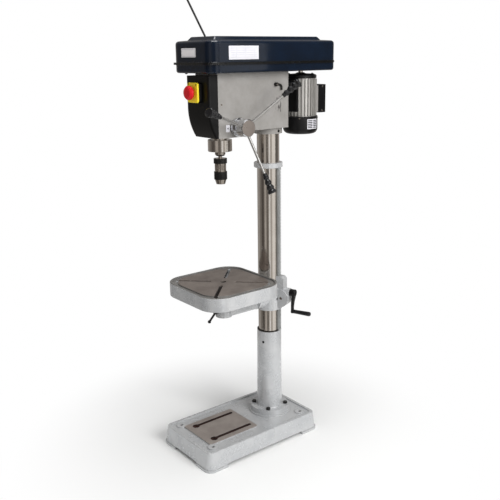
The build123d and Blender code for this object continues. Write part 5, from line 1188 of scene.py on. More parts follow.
@dataclass
class FeedGrips:
    """The three moulded grips on the feed levers: ringed, and flared to a round end.

    Attributes:
        root: Where the levers' lines meet.
        start: Where a grip starts, along its lever.
        tilt: How far the levers lean outwards, in degrees.
        first: The first lever's turn from the back, in degrees.
        profile: Distances along a grip and its radius there, in millimetres.
        steps: Points round a grip.
    """

    root: tuple[float, float, float] = (118 * MM, FEED_Y, FEED_Z)
    start: float = 184 * MM
    tilt: float = 21.6
    first: float = 41.9
    profile: Profile = (
        (0.0, 5.8), (0.0, 7.0), (1.2, 8.2), (6.0, 8.6), (9.0, 8.3), (11.5, 9.6), (15.5, 11.0), (20.0, 11.0),
        (24.0, 8.7), (26.5, 8.5), (30.5, 11.0), (36.0, 13.2), (40.0, 13.2), (44.5, 10.0), (47.0, 9.8),
        (50.5, 12.2), (56.0, 14.9), (59.5, 15.0), (63.5, 12.8), (66.0, 12.8), (70.0, 16.0), (74.0, 17.3),
        (77.0, 16.9), (79.6, 15.0), (80.8, 12.5), (80.0, 11.0),
    )
    steps: int = 40

    def place(self, turn: float) -> Place:
        """Finds the axes of one lever.

        Args:
            turn: The lever's turn from the back.

        Returns:
            What maps a grip's drawing onto that lever.
        """
        lean = math.radians(self.tilt)
        way = Vector((math.sin(lean), math.cos(lean) * math.cos(turn), math.cos(lean) * math.sin(turn)))
        side = Vector((0.0, -math.sin(turn), math.cos(turn)))
        other = way.cross(side)
        return lambda a, b, out: Vector(self.root) + side * a + other * b + way * (self.start + out)

    def build(self, palette: Palette) -> None:
        """Args:
            palette: The finishes.
        """
        mesh = bmesh.new()
        for index in range(3):
            lathe(mesh, self.profile, self.place(math.radians(self.first + 120 * index)), self.steps)
        grips = to_object("ringed_grips", mesh, [palette.get("bakelite")])
        declare(grips, "feed", "feed_grips")


@dataclass
class TableCrank:
    """The crank that lifts the table: stout hub, waisted arm that bends in, eye and turned handle.

    Attributes:
        bearing: How far its axis is turned from the right to the back, in degrees.
        height: Height of its axis.
        throw: How far below the axis the handle is.
        hub: Distances out from the column's axis and the hub's radius there, in millimetres.
        eye: The same for the eye that the handle's pin is in.
        handle: The same for the handle.
        arm: Distances down from the axis, middle out, half thickness and half width there, in millimetres.
        arm_round: Corner radius of the arm, as a share of its half thickness.
    """

    bearing: float = 22.0
    height: float = 638 * MM
    throw: float = 83 * MM
    hub: Profile = (
        (102.3, 13.6), (103.5, 15.0), (124.6, 15.0), (126.4, 14.2), (127.2, 12.6), (127.2, 5.5), (126.4, 5.0),
    )
    eye: Profile = ((108.6, 8.2), (109.4, 9.2), (116.2, 9.2), (116.9, 8.4))
    handle: Profile = (
        (117.2, 7.6), (118.2, 8.4), (137.0, 8.4), (160.0, 8.9), (185.0, 9.5), (192.0, 9.4), (195.2, 8.0),
        (196.6, 5.4),
    )
    arm: tuple[tuple[float, float, float, float], ...] = (
        (2.0, 119.3, 7.0, 12.6), (14.0, 118.9, 6.8, 11.8), (26.0, 117.0, 6.4, 10.4), (40.0, 114.6, 5.8, 9.4),
        (54.0, 113.6, 4.9, 9.0), (66.0, 112.9, 4.0, 9.2), (80.0, 112.9, 3.9, 9.2),
    )
    arm_round: float = 0.7

    def place(self, out: float, side: float, rise: float) -> Vector:
        """Returns the point this far out from the column's axis, to the side and up from the crank's axis."""
        turned = Matrix.Rotation(math.radians(self.bearing), 3, "Z") @ Vector((out, side, rise))
        return turned + Vector((0.0, COLUMN_Y, self.height))

    def turned(self, mesh: bmesh.types.BMesh, profile: Profile, drop: float) -> None:
        """Adds a round piece this far below the crank's axis."""
        lathe(mesh, profile, lambda side, rise, out: self.place(out, side, rise - drop))

    def build(self, palette: Palette) -> None:
        """Makes the arm and the handle.

        Args:
            palette: The finishes.
        """
        mesh = bmesh.new()
        self.turned(mesh, self.hub, 0.0)
        self.turned(mesh, self.eye, self.throw)
        levels = []
        for down, middle, half, wide in self.arm:
            span = ((middle - half) * MM, (middle + half) * MM)
            corner = self.arm_round * half * MM
            levels.append((rounded(span, (-wide * MM, wide * MM), (corner, corner), 4), -down * MM))
        skin(mesh, levels, place=self.place)
        arm = to_object("cast_crank", mesh, [palette.get("black_enamel")])
        declare(arm, "crank", "crank_arm")
        mesh = bmesh.new()
        self.turned(mesh, self.handle, self.throw)
        handle = to_object("crank_grip", mesh, [palette.get("bakelite")])
        declare(handle, "crank_handle", "crank_handle")


class Head(Enum):
    """Kinds of screw head."""

    SOCKET = "hex_socket"
    CROSS = "cross_recess"
    HEX = "hex_head"


class Stock(Enum):
    """What a screw is made of: its finish and a slot name."""

    DARK = ("black_oxide", "black_oxide")
    BRIGHT = ("turned_steel", "polished_steel")


# Rings of a head of radius 1 with their heights: the outer ones first, then its recess
HEAD_RINGS: dict[Head, list[tuple[Ring, float]]] = {
    Head.SOCKET: [
        (circle(1.0), 0.0), (circle(1.0), 0.35), (circle(0.9), 0.45), (hexagon(0.58), 0.45),
        (hexagon(0.54), 0.08),
    ],
    Head.CROSS: [
        (circle(1.0), 0.0), (circle(1.0), 0.18), (circle(0.88), 0.42), (circle(0.72), 0.52),
        (cross(0.56, 0.17), 0.56), (cross(0.36, 0.12), 0.2),
    ],
    Head.HEX: [
        (circle(1.12), 0.0), (circle(1.12), 0.16), (hexagon(0.86), 0.16), (hexagon(0.86), 0.66),
        (circle(0.8), 0.76), (circle(0.4), 0.78),
    ],
}


@dataclass(frozen=True)
class Screw:
    """One screw on the outside of the drill.

    Attributes:
        place: Where its seat is.
        facing: Which way its head looks.
        radius: Radius of its head.
    """

    place: Vector
    facing: Vector
    radius: float


def screw(place: tuple[float, float, float], facing: tuple[int, int, int], radius: float) -> Screw:
    """Returns a screw from its seat and head radius in millimetres."""
    return Screw(Vector(place) * MM, Vector(facing), radius * MM)


def around(axis_y: float, radius: float, angle: float, height: float, size: float) -> Screw:
    """Sets a screw on an upright round piece.

    Args:
        axis_y: Where the piece's axis is, along Y, in metres.
        radius: The piece's radius, in millimetres.
        angle: How far round the screw is, in degrees from the right.
        height: Its height, in millimetres.
        size: Radius of its head, in millimetres.

    Returns:
        The screw.
    """
    out = Vector((math.cos(math.radians(angle)), math.sin(math.radians(angle)), 0.0))
    return Screw(Vector((0.0, axis_y, height * MM)) + out * radius * MM, out, size * MM)


@dataclass
class Fasteners:
    """Screw heads, set in place by one Geometry Nodes tree.

    Attributes:
        segments: Points round a head.
        quarters: Turns of four screws round an axis, in degrees.
        socket_screw: Radius, turn, height and head radius of the column socket's set screw.
        collar_screw: The same for the head's collar.
        bracket_screw: The same for the table bracket.
        cover_screw: Radius, height and head radius of the fan cover's screws.
        tie_bolt: Radius, height and head radius of the motor's tie bolts.
        cup_screw: Radius, distance out from the head's side and head radius of the spring cup's screws.
    """

    segments: int = 36
    quarters: tuple[int, ...] = (45, 135, 225, 315)
    socket_screw: tuple[float, float, float, float] = (52.1, -68.7, 411.3, 5.2)
    collar_screw: tuple[float, float, float, float] = (56.8, 7.8, 1314.5, 5.0)
    bracket_screw: tuple[float, float, float, float] = (57.8, -2.0, 608.0, 5.0)
    cover_screw: tuple[float, float, float] = (71.8, 1355.5, 3.0)
    tie_bolt: tuple[float, float, float] = (48.0, 1532.2, 4.5)
    cup_screw: tuple[float, float, float] = (27.0, 36.0, 3.0)

    def __post_init__(self) -> None:
        """Builds the tree and the three heads."""
        self.tree = self.grow_tree()
        self.heads = {kind: self.head(kind) for kind in Head}

    def grow_tree(self) -> Tree:
        """Builds the tree that sets a head on each point, turned to the point's facing.

        Returns:
            The tree.
        """
        tree = bpy.data.node_groups.new("set_screw_heads", "GeometryNodeTree")
        sockets = {"Points": "NodeSocketGeometry", "Head": "NodeSocketObject", "Finish": "NodeSocketMaterial"}
        for name, kind in sockets.items():
            tree.interface.new_socket(name, in_out="INPUT", socket_type=kind)
        tree.interface.new_socket("Screws", in_out="OUTPUT", socket_type="NodeSocketGeometry")
        given = add_node(tree, "NodeGroupInput").outputs
        head = add_node(tree, "GeometryNodeObjectInfo", inputs={"Object": given["Head"]}).outputs["Geometry"]
        facing, radius = (
            add_node(tree, "GeometryNodeInputNamedAttribute", {"data_type": kind}, {"Name": name})
            for name, kind in (("facing", "FLOAT_VECTOR"), ("radius", "FLOAT"))
        )
        aim = {"Vector": facing.outputs["Attribute"]}
        turn = add_node(tree, "FunctionNodeAlignRotationToVector", {"axis": "Z"}, aim)
        copied = {
            "Points": given["Points"],
            "Instance": head,
            "Rotation": turn.outputs["Rotation"],
            "Scale": radius.outputs["Attribute"],
        }
        copies = add_node(tree, "GeometryNodeInstanceOnPoints", inputs=copied).outputs["Instances"]
        real = add_node(tree, "GeometryNodeRealizeInstances", inputs={"Geometry": copies}).outputs["Geometry"]
        painted = {"Geometry": real, "Material": given["Finish"]}
        dressed = add_node(tree, "GeometryNodeSetMaterial", inputs=painted).outputs["Geometry"]
        add_node(tree, "NodeGroupOutput", inputs={"Screws": dressed})
        return tree

    def head(self, kind: Head) -> bpy.types.Object:
        """Makes a head of radius 1 from its rings.

        Args:
            kind: The kind of head.

        Returns:
            The head's object.
        """
        mesh = bmesh.new()
        skin(mesh, [(ring_outline(ring, self.segments), rise) for ring, rise in HEAD_RINGS[kind]])
        return to_object(kind.value, mesh, [])

    def fit(self, name: str, screws: list[Screw], kind: Head, finish: bpy.types.Material) -> bpy.types.Object:
        """Sets a row of like screws.

        Args:
            name: Name of the piece.
            screws: Where the screws are.
            kind: Their heads.
            finish: Their material.

        Returns:
            The piece.
        """
        marks = bpy.data.meshes.new(f"{name}_marks")
        marks.from_pydata([row.place for row in screws], [], [])
        marks.attributes.new("facing", "FLOAT_VECTOR", "POINT")
        marks.attributes.new("radius", "FLOAT", "POINT")
        for index, row in enumerate(screws):
            marks.attributes["facing"].data[index].vector = row.facing
            marks.attributes["radius"].data[index].value = row.radius
        marked = new_object(f"{name}_marks", marks)
        modifier = marked.modifiers.new("set_screw_heads", "NODES")
        modifier.node_group = self.tree
        values = {"Head": self.heads[kind], "Finish": finish}
        for socket in self.tree.interface.items_tree:
            if socket.in_out == "INPUT" and socket.name in values:
                modifier[socket.identifier] = values[socket.name]
        return new_object(name, settled(marked))

    def rows(self) -> list[tuple[str, list[Screw], Head, Stock, str]]:
        """Lists the screws by row.

        Returns:
            Each row's name, screws, kind of head, stock and body.
        """
        reach, turn, height, size = self.socket_screw
        column = [around(COLUMN_Y, reach, turn + half, height, size) for half in (0, 180)]
        reach, turn, height, size = self.collar_screw
        column += [around(COLUMN_Y, reach, angle, height, size) for angle in (turn, 180 - turn)]
        bracket = [around(COLUMN_Y, *self.bracket_screw)]
        head = [screw((side * HEAD_SIDE / MM, -122.8, 1432.3), (side, 0, 0), 3.4) for side in (1, -1)]
        box = [
            screw((side * 39.9, 424.0, height), (side, 0, 0), 3.5)
            for side in (-1, 1)
            for height in (1380.5, 1480.5)
        ]
        reach, height, size = self.cover_screw
        cover = [around(MOTOR_Y, reach, angle, height, size) for angle in self.quarters]
        reach, height, size = self.tie_bolt
        up = Vector((0, 0, 1))
        ties = [Screw(around(MOTOR_Y, reach, a, height, size).place, up, size * MM) for a in self.quarters]
        reach, out, size = self.cup_screw
        cup = []
        for turn in (math.radians(angle) for angle in self.quarters[:3]):
            across, rise = reach * MM * math.cos(turn), reach * MM * math.sin(turn)
            seat = Vector((-HEAD_SIDE - out * MM, FEED_Y + across, FEED_Z + rise))
            cup.append(Screw(seat, Vector((-1, 0, 0)), size * MM))
        tray = [screw((x, -176.0, 1547.1), (0, 0, -1), 5.5) for x in (-75.0, 75.0)]
        switch = [screw((19.5, -180.0, 1434.0), (0, -1, 0), 2.0)]
        return [
            ("column_set_screws", column, Head.SOCKET, Stock.DARK, "stand"),
            ("bracket_set_screw", bracket, Head.SOCKET, Stock.DARK, "bracket"),
            ("head_screws", head, Head.CROSS, Stock.BRIGHT, "stand"),
            ("terminal_box_screws", box, Head.CROSS, Stock.BRIGHT, "motor"),
            ("fan_cover_screws", cover, Head.CROSS, Stock.BRIGHT, "motor"),
            ("motor_tie_bolts", ties, Head.HEX, Stock.DARK, "motor"),
            ("spring_cup_screws", cup, Head.CROSS, Stock.BRIGHT, "stand"),
            ("tray_bolts", tray, Head.HEX, Stock.DARK, "stand"),
            ("cover_screw", switch, Head.CROSS, Stock.DARK, "stand"),
        ]

    def build(self, palette: Palette) -> None:
        """Sets all the screws and takes the pattern heads away again.

        Args:
            palette: The finishes.
        """
        for name, screws, kind, stock, body in self.rows():
            finish, slot = stock.value
            declare(self.fit(name, screws, kind, palette.get(finish)), body)
        for head in self.heads.values():
            bpy.data.objects.remove(head)


@dataclass(frozen=True)
class Plate:
    """One plate and what is printed on it: rules and bars, with nothing written.

    Attributes:
        name: Name of the piece.
        body: The body that carries it.
        place: Maps its drawing onto the drill.
        box: Its edges.
        corner: Radius of its corners.
        prints: The edges of each print.
        finishes: Finish of the plate and of its prints.
        thick: Its thickness.
        print_corner: Radius of the prints' corners.
        proud: How far the prints stand out.
        strips: Strips across it, so that it can bend.
    """

    name: str
    body: str
    place: Place
    box: Box
    corner: float
    prints: list[Box]
    finishes: tuple[str, str] = ("plate_white", "pale_ink")
    thick: float = 0.8 * MM
    print_corner: float = 0.0
    proud: float = 0.12 * MM
    strips: int = 24

    def sheet(
        self, mesh: bmesh.types.BMesh, box: Box, depths: tuple[float, float], corner: float, material: int
    ) -> None:
        """Adds a closed thin sheet with round corners, made of upright strips.

        Args:
            mesh: The plate's mesh.
            box: The sheet's edges.
            depths: Its back and front, outwards.
            corner: Radius of its corners.
            material: Its material slot.
        """
        left, right, low, high = box
        half, middle = (right - left) / 2, (left + right) / 2
        back, front = depths
        levels = []
        for step in range(self.strips + 1):
            across = -half * math.cos(math.pi * step / self.strips)
            into = max(abs(across) - (half - corner), 0.0)
            cut = corner - math.sqrt(max(corner * corner - into * into, 0.0))
            row = [(low + cut, back), (high - cut, back), (high - cut, front), (low + cut, front)]
            levels.append((row, middle + across))
        skin(mesh, levels, place=lambda up, out, across: self.place(across, up, out), material=material)

    def build(self, palette: Palette) -> None:
        """Makes the plate with its prints.

        Args:
            palette: The finishes.
        """
        mesh = bmesh.new()
        self.sheet(mesh, self.box, (0.0, self.thick), self.corner, material=0)
        for box in self.prints:
            self.sheet(mesh, box, (self.thick, self.thick + self.proud), self.print_corner, material=1)
        plate = to_object(self.name, mesh, [palette.get(finish) for finish in self.finishes])
        declare(plate, self.body)


@dataclass
class Plates:
    """The drill's four plates.

    Attributes:
        name_box: Edges of the bare plate on the lid's front.
        name_frame: How far in its border is, and the border's width.
        speed_box: Edges of the ruled plate on the lid's side.
        speed_columns: Where its columns part.
        speed_rows: Where its rows are ruled.
        speed_ends: Low and high end of its upright rules.
        speed_gaps: How far its rules stay off the plate's edge and off a column's.
        rule: Width of a rule.
        motor_radius: Radius of the fan cover.
        motor_turns: The motor plate's first and last turn round the motor, in degrees.
        motor_edges: Its low and high edge.
        motor_bars: Lowest bar, step from bar to bar, a bar's height and how many there are.
        motor_gaps: How far the bars stay off the plate's edge and off its middle.
        pointer: Middle of the pointer plate beside the depth ring, along Y and up.
        pointer_half: Half its width and height.
        pointer_dot: Radius of its dark mark, and of its corners.
        pointer_thick: Its thickness.
    """

    name_box: Box = (-58.5 * MM, 33 * MM, 1604 * MM, 1636 * MM)
    name_frame: tuple[float, float] = (3 * MM, 1.2 * MM)
    speed_box: Box = (-128 * MM, 9 * MM, 1594.5 * MM, 1642.5 * MM)
    speed_columns: tuple[float, ...] = (-94 * MM, -52 * MM, -10 * MM)
    speed_rows: tuple[float, ...] = (1602 * MM, 1610 * MM, 1618 * MM, 1626 * MM, 1634 * MM)
    speed_ends: tuple[float, float] = (1599 * MM, 1638 * MM)
    speed_gaps: tuple[float, float] = (5 * MM, 3 * MM)
    rule: float = 0.9 * MM
    motor_radius: float = 72 * MM
    motor_turns: tuple[float, float] = (-18.6, 24.6)
    motor_edges: tuple[float, float] = (1312 * MM, 1352 * MM)
    motor_bars: tuple[float, float, float, int] = (1315.5 * MM, 7 * MM, 4.4 * MM, 5)
    motor_gaps: tuple[float, float] = (3 * MM, 2 * MM)
    pointer: tuple[float, float] = (-96.5 * MM, 1344 * MM)
    pointer_half: tuple[float, float] = (9 * MM, 13 * MM)
    pointer_dot: float = 3 * MM
    pointer_thick: float = 2 * MM

    def border(self) -> list[Box]:
        """Draws the border of the bare plate.

        Returns:
            Its four bars.
        """
        inset, width = self.name_frame
        left, right, low, high = self.name_box
        left, right, low, high = left + inset, right - inset, low + inset, high - inset
        level = [(left, right, edge, edge + width) for edge in (low, high - width)]
        return level + [(edge, edge + width, low + width, high - width) for edge in (left, right - width)]

    def table(self) -> list[Box]:
        """Rules the speed plate into empty cells.

        Returns:
            Its rules.
        """
        columns, (off_edge, off_column) = self.speed_columns, self.speed_gaps
        starts = (self.speed_box[0] + off_edge, *columns)
        ends = (*columns, self.speed_box[1] - off_edge)
        rules = [(column, column + self.rule, *self.speed_ends) for column in columns]
        for row in self.speed_rows:
            for left, right in zip(starts, ends):
                rules.append((left + off_column, right - off_column, row, row + self.rule))
        return rules

    def bars(self, box: Box) -> list[Box]:
        """Draws the motor plate's two columns of bars.

        Args:
            box: The plate's edges.

        Returns:
            The bars.
        """
        middle, (off_edge, off_middle) = (box[0] + box[1]) / 2, self.motor_gaps
        lowest, step, tall, count = self.motor_bars
        columns = ((box[0] + off_edge, middle - off_middle), (middle + off_middle, box[1] - off_edge))
        return [
            (left, right, lowest + row * step, lowest + row * step + tall)
            for left, right in columns
            for row in range(count)
        ]

    def round_motor(self, across: float, up: float, out: float) -> Vector:
        """Bends the motor plate's drawing round the fan cover."""
        turn, reach = across / self.motor_radius, self.motor_radius + out
        return Vector((reach * math.cos(turn), MOTOR_Y + reach * math.sin(turn), up))

    def build(self, palette: Palette) -> None:
        """Makes every plate.

        Args:
            palette: The finishes.
        """
        first, last = (math.radians(turn) * self.motor_radius for turn in self.motor_turns)
        motor_box = (first, last, *self.motor_edges)
        (half, tall), dot = self.pointer_half, self.pointer_dot
        middle_y, middle_z = self.pointer
        plates = [
            # The front plate takes the whiter finish, painted light against the shade on the guard's front
            Plate(
                "name_plate", "lid", lambda across, up, out: Vector((across, GUARD_FRONT - out, up)),
                self.name_box, corner=2 * MM, prints=self.border(), finishes=("shade_lifted_white", "pale_ink"),
            ),
            Plate(
                "speed_plate", "lid", lambda across, up, out: Vector((GUARD_SIDE + out, across, up)),
                self.speed_box, corner=1.5 * MM, prints=self.table(),
            ),
            Plate(
                "motor_plate", "motor", self.round_motor, motor_box, corner=1.5 * MM,
                prints=self.bars(motor_box), finishes=("plate_white", "plate_ink"),
            ),
            Plate(
                "zero_plate", "stand",
                lambda across, up, out: Vector((HEAD_SIDE + out, middle_y + across, middle_z + up)),
                (-half, half, -tall, tall), corner=dot, prints=[(-dot, dot, -dot, dot)],
                finishes=("plate_white", "plate_ink"), thick=self.pointer_thick, print_corner=dot,
            ),
        ]
        for plate in plates:
            plate.build(palette)


@dataclass
class DepthScale:
    """Engraved lines and numbers round the depth ring.

    Attributes:
        radius: The ring's radius.
        edges: The ring's two sides, along X.
        travel: How far the quill goes for one radian of the ring.
        length: How far the scale reads.
        step: Travel from line to line; every fifth line is long and has its number.
        lines: Length of a long and of a short line.
        line_width: Width of a line.
        number_size: Size of the numbers' font.
        number_edge: How far the numbers stay off the ring's side.
        proud: How far the filled engraving stands out.
    """

    radius: float = 36 * MM
    edges: tuple[float, float] = (72.3 * MM, 87.3 * MM)
    travel: float = 12 * MM
    length: float = 70 * MM
    step: float = 2 * MM
    lines: tuple[float, float] = (6 * MM, 3.5 * MM)
    line_width: float = 0.7 * MM
    number_size: float = 6 * MM
    number_edge: float = 1.5 * MM
    proud: float = 0.1 * MM

    def place(self, turn: float, along: float, out: float) -> Vector:
        """Returns the point on the ring at this turn from the front, this far along X and this far out."""
        reach = self.radius + out
        return Vector((along, FEED_Y - reach * math.cos(turn), FEED_Z + reach * math.sin(turn)))

    def line(self, mesh: bmesh.types.BMesh, turn: float, long: float) -> None:
        """Adds one engraved line along the ring.

        Args:
            mesh: The scale's mesh.
            turn: Where it is, from the front.
            long: Its length.
        """
        half = self.line_width / 2 / self.radius
        near, far = turn - half, turn + half
        start, end = self.edges[1] - long, self.edges[1]
        corners = [(near, start), (far, start), (far, end), (near, end)]
        skin(mesh, [(corners, out) for out in (-self.proud, self.proud)], place=self.place)

    def number(self, mesh: bmesh.types.BMesh, value: int, turn: float) -> None:
        """Adds one number, wrapped on the ring and read from the side.

        Args:
            mesh: The scale's mesh.
            value: The number, in millimetres of travel.
            turn: Where it is, from the front.
        """
        text = bpy.data.curves.new("depth_number", "FONT")
        text.body = str(value)
        text.size = self.number_size
        text.align_x = "CENTER"
        text.extrude = self.proud
        flat = settled(new_object("depth_number", text))
        for vertex in flat.vertices:
            across, up, out = vertex.co
            vertex.co = self.place(turn + across / self.radius, self.edges[0] + self.number_edge + up, out)
        mesh.from_mesh(flat)

    def build(self, palette: Palette) -> None:
        """Makes the whole scale as one piece.

        Args:
            palette: The finishes.
        """
        mesh = bmesh.new()
        for index in range(round(self.length / self.step) + 1):
            turn = index * self.step / self.travel
            numbered = index % 5 == 0
            self.line(mesh, turn, self.lines[0 if numbered else 1])
            if numbered:
                self.number(mesh, round(index * self.step / MM), turn)
        declare(to_object("depth_scale", mesh, [palette.get("plate_ink")]), "feed")


@dataclass
class MainsCord:
    """The rubber mains cord: out of its gland on the head's left side and up to an overhead hanger.

    Attributes:
        diameter: Outer diameter.
        route: The points that the cord follows, from the gland to the hanger.
        length: Its length.
    """

    diameter: float = 8 * MM
    route: tuple[tuple[float, float, float], ...] = (
        (-0.107, 0.119, 1.4405),
        (-0.132, 0.119, 1.4405),
        (-0.1535, 0.1125, 1.4515),
        (-0.166, 0.1015, 1.470),
        (-0.166, 0.0890, 1.4916),
        (-0.166, -0.1105, 1.8355),
    )
    length: float = 0.4955

    def build(self, palette: Palette, nodes: Nodes) -> None:
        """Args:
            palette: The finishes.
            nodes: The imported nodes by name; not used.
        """
        cord = bent_rod("cord_flex", list(self.route), self.diameter / 2, roundness=5, steps=16)
        cord.data.materials.append(palette.get("rubber"))
        declare(cord, "stand", "mains_cord")


@dataclass
class Studio:
    """Pale floor, soft lamps, dark cards for the polished metal, and the camera of the photograph.

    Attributes:
        place: Where the camera stands.
        azimuth: How far round the camera stands, in degrees from the front.
        pitch: How far down it looks, in degrees.
        roll: How far it leans, in degrees.
        focal_px: Focal length in pixels of the square picture.
        picture_px: Side of the picture in pixels.
        sensor_mm: Width of the camera's sensor.
        floor_half: Half the side of the floor.
        floor_fade: Where the floor starts to turn white, and where it is white.
        sky_light: Strength of the light from all round.
        aim: What the lamps face.
        lamps: Each soft lamp's name, place, side of its square and power.
        card_middle: What the cards stand round.
        card_reach: How far from there they stand.
        card_height: How high they are.
        card_steps: Flats of a card.
        cards: Each card's last bearing, in degrees to the right of the camera, and its colour, sRGB hex.
    """

    place: tuple[float, float, float] = (2.2577, -1.7194, 1.6115)
    azimuth: float = 51.77
    pitch: float = 15.23
    roll: float = -0.75
    focal_px: float = 718.3
    picture_px: float = 500.0
    sensor_mm: float = 36.0
    floor_half: float = 20.0
    floor_fade: tuple[float, float] = (0.3, 1.0)
    sky_light: float = 0.38
    aim: tuple[float, float, float] = (0.0, 0.05, 0.95)
    lamps: tuple[tuple[str, tuple[float, float, float], float, float], ...] = (
        ("key_lamp", (3.2, 0.4, 2.5), 1.8, 104.0),
        ("fill_lamp", (-0.8, -3.4, 2.2), 2.4, 8.0),
        ("top_lamp", (0.3, -0.2, 4.2), 1.2, 48.0),
    )
    card_middle: tuple[float, float, float] = (0.0, 0.1, 0.0)
    card_reach: float = 1.0
    card_height: float = 3.2
    card_steps: int = 8
    cards: tuple[tuple[float, str], ...] = (
        (-105.0, "#A6A29E"),
        (-78.0, "#827D78"),
        (-50.0, "#5A5551"),
        (-42.0, "#77726D"),
        (-21.0, "#B8B2AC"),
        (1.0, "#75706B"),
        (9.0, "#BFBAB5"),
        (20.0, "#FFFFFF"),
        (41.0, "#BDB8B2"),
        (71.0, "#F8F5F1"),
        (118.0, "#6E6A66"),
        (180.0, "#B4B0AC"),
    )

    def camera(self) -> None:
        """Makes the camera and sets it as the scene's."""
        turn, tilt = math.radians(self.azimuth), math.radians(self.pitch)
        ahead = Vector((-math.sin(turn) * math.cos(tilt), math.cos(turn) * math.cos(tilt), -math.sin(tilt)))
        level = Vector((math.cos(turn), math.sin(turn), 0.0))
        right = Matrix.Rotation(math.radians(-self.roll), 4, ahead) @ level
        up = right.cross(ahead)
        data = bpy.data.cameras.new("photo_camera")
        data.sensor_width = self.sensor_mm
        data.lens = self.focal_px / self.picture_px * self.sensor_mm
        camera = new_object("photo_camera", data)
        axes = Matrix((right, up, -ahead)).transposed().to_4x4()
        camera.matrix_world = Matrix.Translation(self.place) @ axes
        bpy.context.scene.camera = camera

    def lamp(self, name: str, place: tuple[float, float, float], size: float, watts: float) -> None:
        """Adds a square soft lamp that faces the drill's middle.

        Args:
            name: Name of the lamp.
            place: Where it stands.
            size: Side of its square.
            watts: Its power.
        """
        data = bpy.data.lights.new(name, "AREA")
        data.shape = "SQUARE"
        data.size = size
        data.energy = watts
        way = Vector(self.aim) - Vector(place)
        turned = way.to_track_quat("-Z", "Y").to_matrix().to_4x4()
        new_object(name, data).matrix_world = Matrix.Translation(place) @ turned

    def card(self, name: str, start: float, end: float, tone: str) -> None:
        """Stands up a curved card that only reflections see, for the bands on polished metal.

        Args:
            name: Name of the card.
            start: Its first bearing, in degrees to the right of the camera.
            end: Its last bearing.
            tone: Its colour, sRGB hex.
        """
        turn = math.radians(self.azimuth)
        toward = Vector((math.sin(turn), -math.cos(turn), 0.0))
        right = Vector((math.cos(turn), math.sin(turn), 0.0))
        corners = []
        for step in range(self.card_steps + 1):
            bearing = math.radians(start + (end - start) * step / self.card_steps)
            way = math.cos(bearing) * toward + math.sin(bearing) * right
            foot = Vector(self.card_middle) + self.card_reach * way
            corners += [foot, foot + Vector((0.0, 0.0, self.card_height))]
        flats = [(i, i + 2, i + 3, i + 1) for i in range(0, 2 * self.card_steps, 2)]
        mesh = bpy.data.meshes.new(name)
        mesh.from_pydata(corners, [], flats)
        material = bpy.data.materials.new(name)
        tree = cleared(material)
        # An even glow of strength 1 shows its colour as it is written
        glow = add_node(tree, "ShaderNodeEmission", inputs={"Color": srgb(tone), "Strength": 1.0})
        add_node(tree, "ShaderNodeOutputMaterial", inputs={"Surface": glow.outputs["Emission"]})
        mesh.materials.append(material)
        card = new_object(name, mesh)
        card.visible_camera = False
        card.visible_diffuse = False
        card.visible_shadow = False

    def seen_directly(self, tree: Tree) -> Socket:
        """Tells rays that see a thing directly from those that only bring light.

        Args:
            tree: The tree that asks.

        Returns:
            1 for rays of the camera, of reflections and through glass, else 0.
        """
        path = add_node(tree, "ShaderNodeLightPath").outputs
        seen = path["Is Camera Ray"]
        for kind in ("Is Glossy Ray", "Is Transmission Ray"):
            either = add_node(tree, "ShaderNodeMath", {"operation": "MAXIMUM"}, {0: seen, 1: path[kind]})
            seen = either.outputs["Value"]
        return seen

    def world(self) -> None:
        """Makes the sky: white where it is seen, a plain soft light elsewhere."""
        world = bpy.data.worlds.new("studio_sky")
        bpy.context.scene.world = world
        tree = cleared(world)
        light, white = (
            add_node(tree, "ShaderNodeBackground", inputs={"Color": srgb("#FFFFFF"), "Strength": strength})
            for strength in (self.sky_light, 1.0)
        )
        parts = {0: self.seen_directly(tree), 1: light.outputs[0], 2: white.outputs[0]}
        both = add_node(tree, "ShaderNodeMixShader", inputs=parts)
        add_node(tree, "ShaderNodeOutputWorld", inputs={"Surface": both.outputs[0]})

    def floor(self) -> None:
        """Lays the pale floor, which keeps the shadow near the drill and turns white further out."""
        half = self.floor_half
        corners = [(-half, -half, 0), (half, -half, 0), (half, half, 0), (-half, half, 0)]
        mesh = bpy.data.meshes.new("studio_floor")
        mesh.from_pydata(corners, [], [(0, 1, 2, 3)])
        material = bpy.data.materials.new("pale_paper")
        tree = cleared(material)
        place = add_node(tree, "ShaderNodeTexCoord").outputs["Object"]
        away = add_node(tree, "ShaderNodeVectorMath", {"operation": "LENGTH"}, {0: place}).outputs["Value"]
        soft = {"interpolation_type": "SMOOTHSTEP"}
        ends = {"Value": away, "From Min": self.floor_fade[0], "From Max": self.floor_fade[1]}
        fade = add_node(tree, "ShaderNodeMapRange", soft, ends).outputs["Result"]
        seen = {0: fade, 1: self.seen_directly(tree)}
        share = add_node(tree, "ShaderNodeMath", {"operation": "MULTIPLY"}, seen).outputs["Value"]
        # Matt off-white paper, and an even white where it fades out
        paper = add_node(tree, "ShaderNodeBsdfDiffuse", inputs={"Color": srgb("#F4F4F3")})
        white = add_node(tree, "ShaderNodeEmission", inputs={"Color": srgb("#FFFFFF"), "Strength": 1.0})
        parts = {0: share, 1: paper.outputs["BSDF"], 2: white.outputs["Emission"]}
        both = add_node(tree, "ShaderNodeMixShader", inputs=parts)
        add_node(tree, "ShaderNodeOutputMaterial", inputs={"Surface": both.outputs[0]})
        mesh.materials.append(material)
        new_object("studio_floor", mesh)

    def build(self) -> None:
        """Sets up the whole studio."""
        self.camera()
        self.world()
        self.floor()
        for lamp in self.lamps:
            self.lamp(*lamp)
        start = self.cards[-1][0] - 360.0
        for end, tone in self.cards:
            self.card(f"card_to_{round(end)}", start, end, tone)
            start = end
        bpy.context.scene.view_settings.view_transform = "Standard"


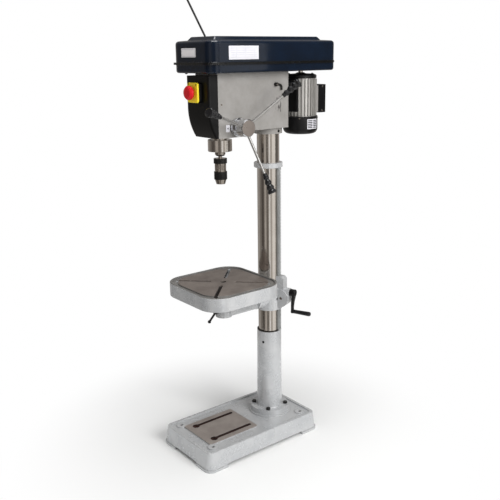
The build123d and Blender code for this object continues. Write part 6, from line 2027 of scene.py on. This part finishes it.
def main() -> None:
    """Builds the dressed drill and its studio."""
    logging.basicConfig(level=logging.INFO, format="%(name)s: %(message)s")
    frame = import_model()
    palette = Palette()
    palette.dress(frame["nodes"])
    MainsCord().build(palette, frame["nodes"])
    pieces = (BeltGuard, HeadRim, DrillTable, LockLever, FeedGrips, TableCrank, Plates, DepthScale, Fasteners)
    for piece in pieces:
        piece().build(palette)
    Studio().build()


if __name__ == "__main__":
    main()
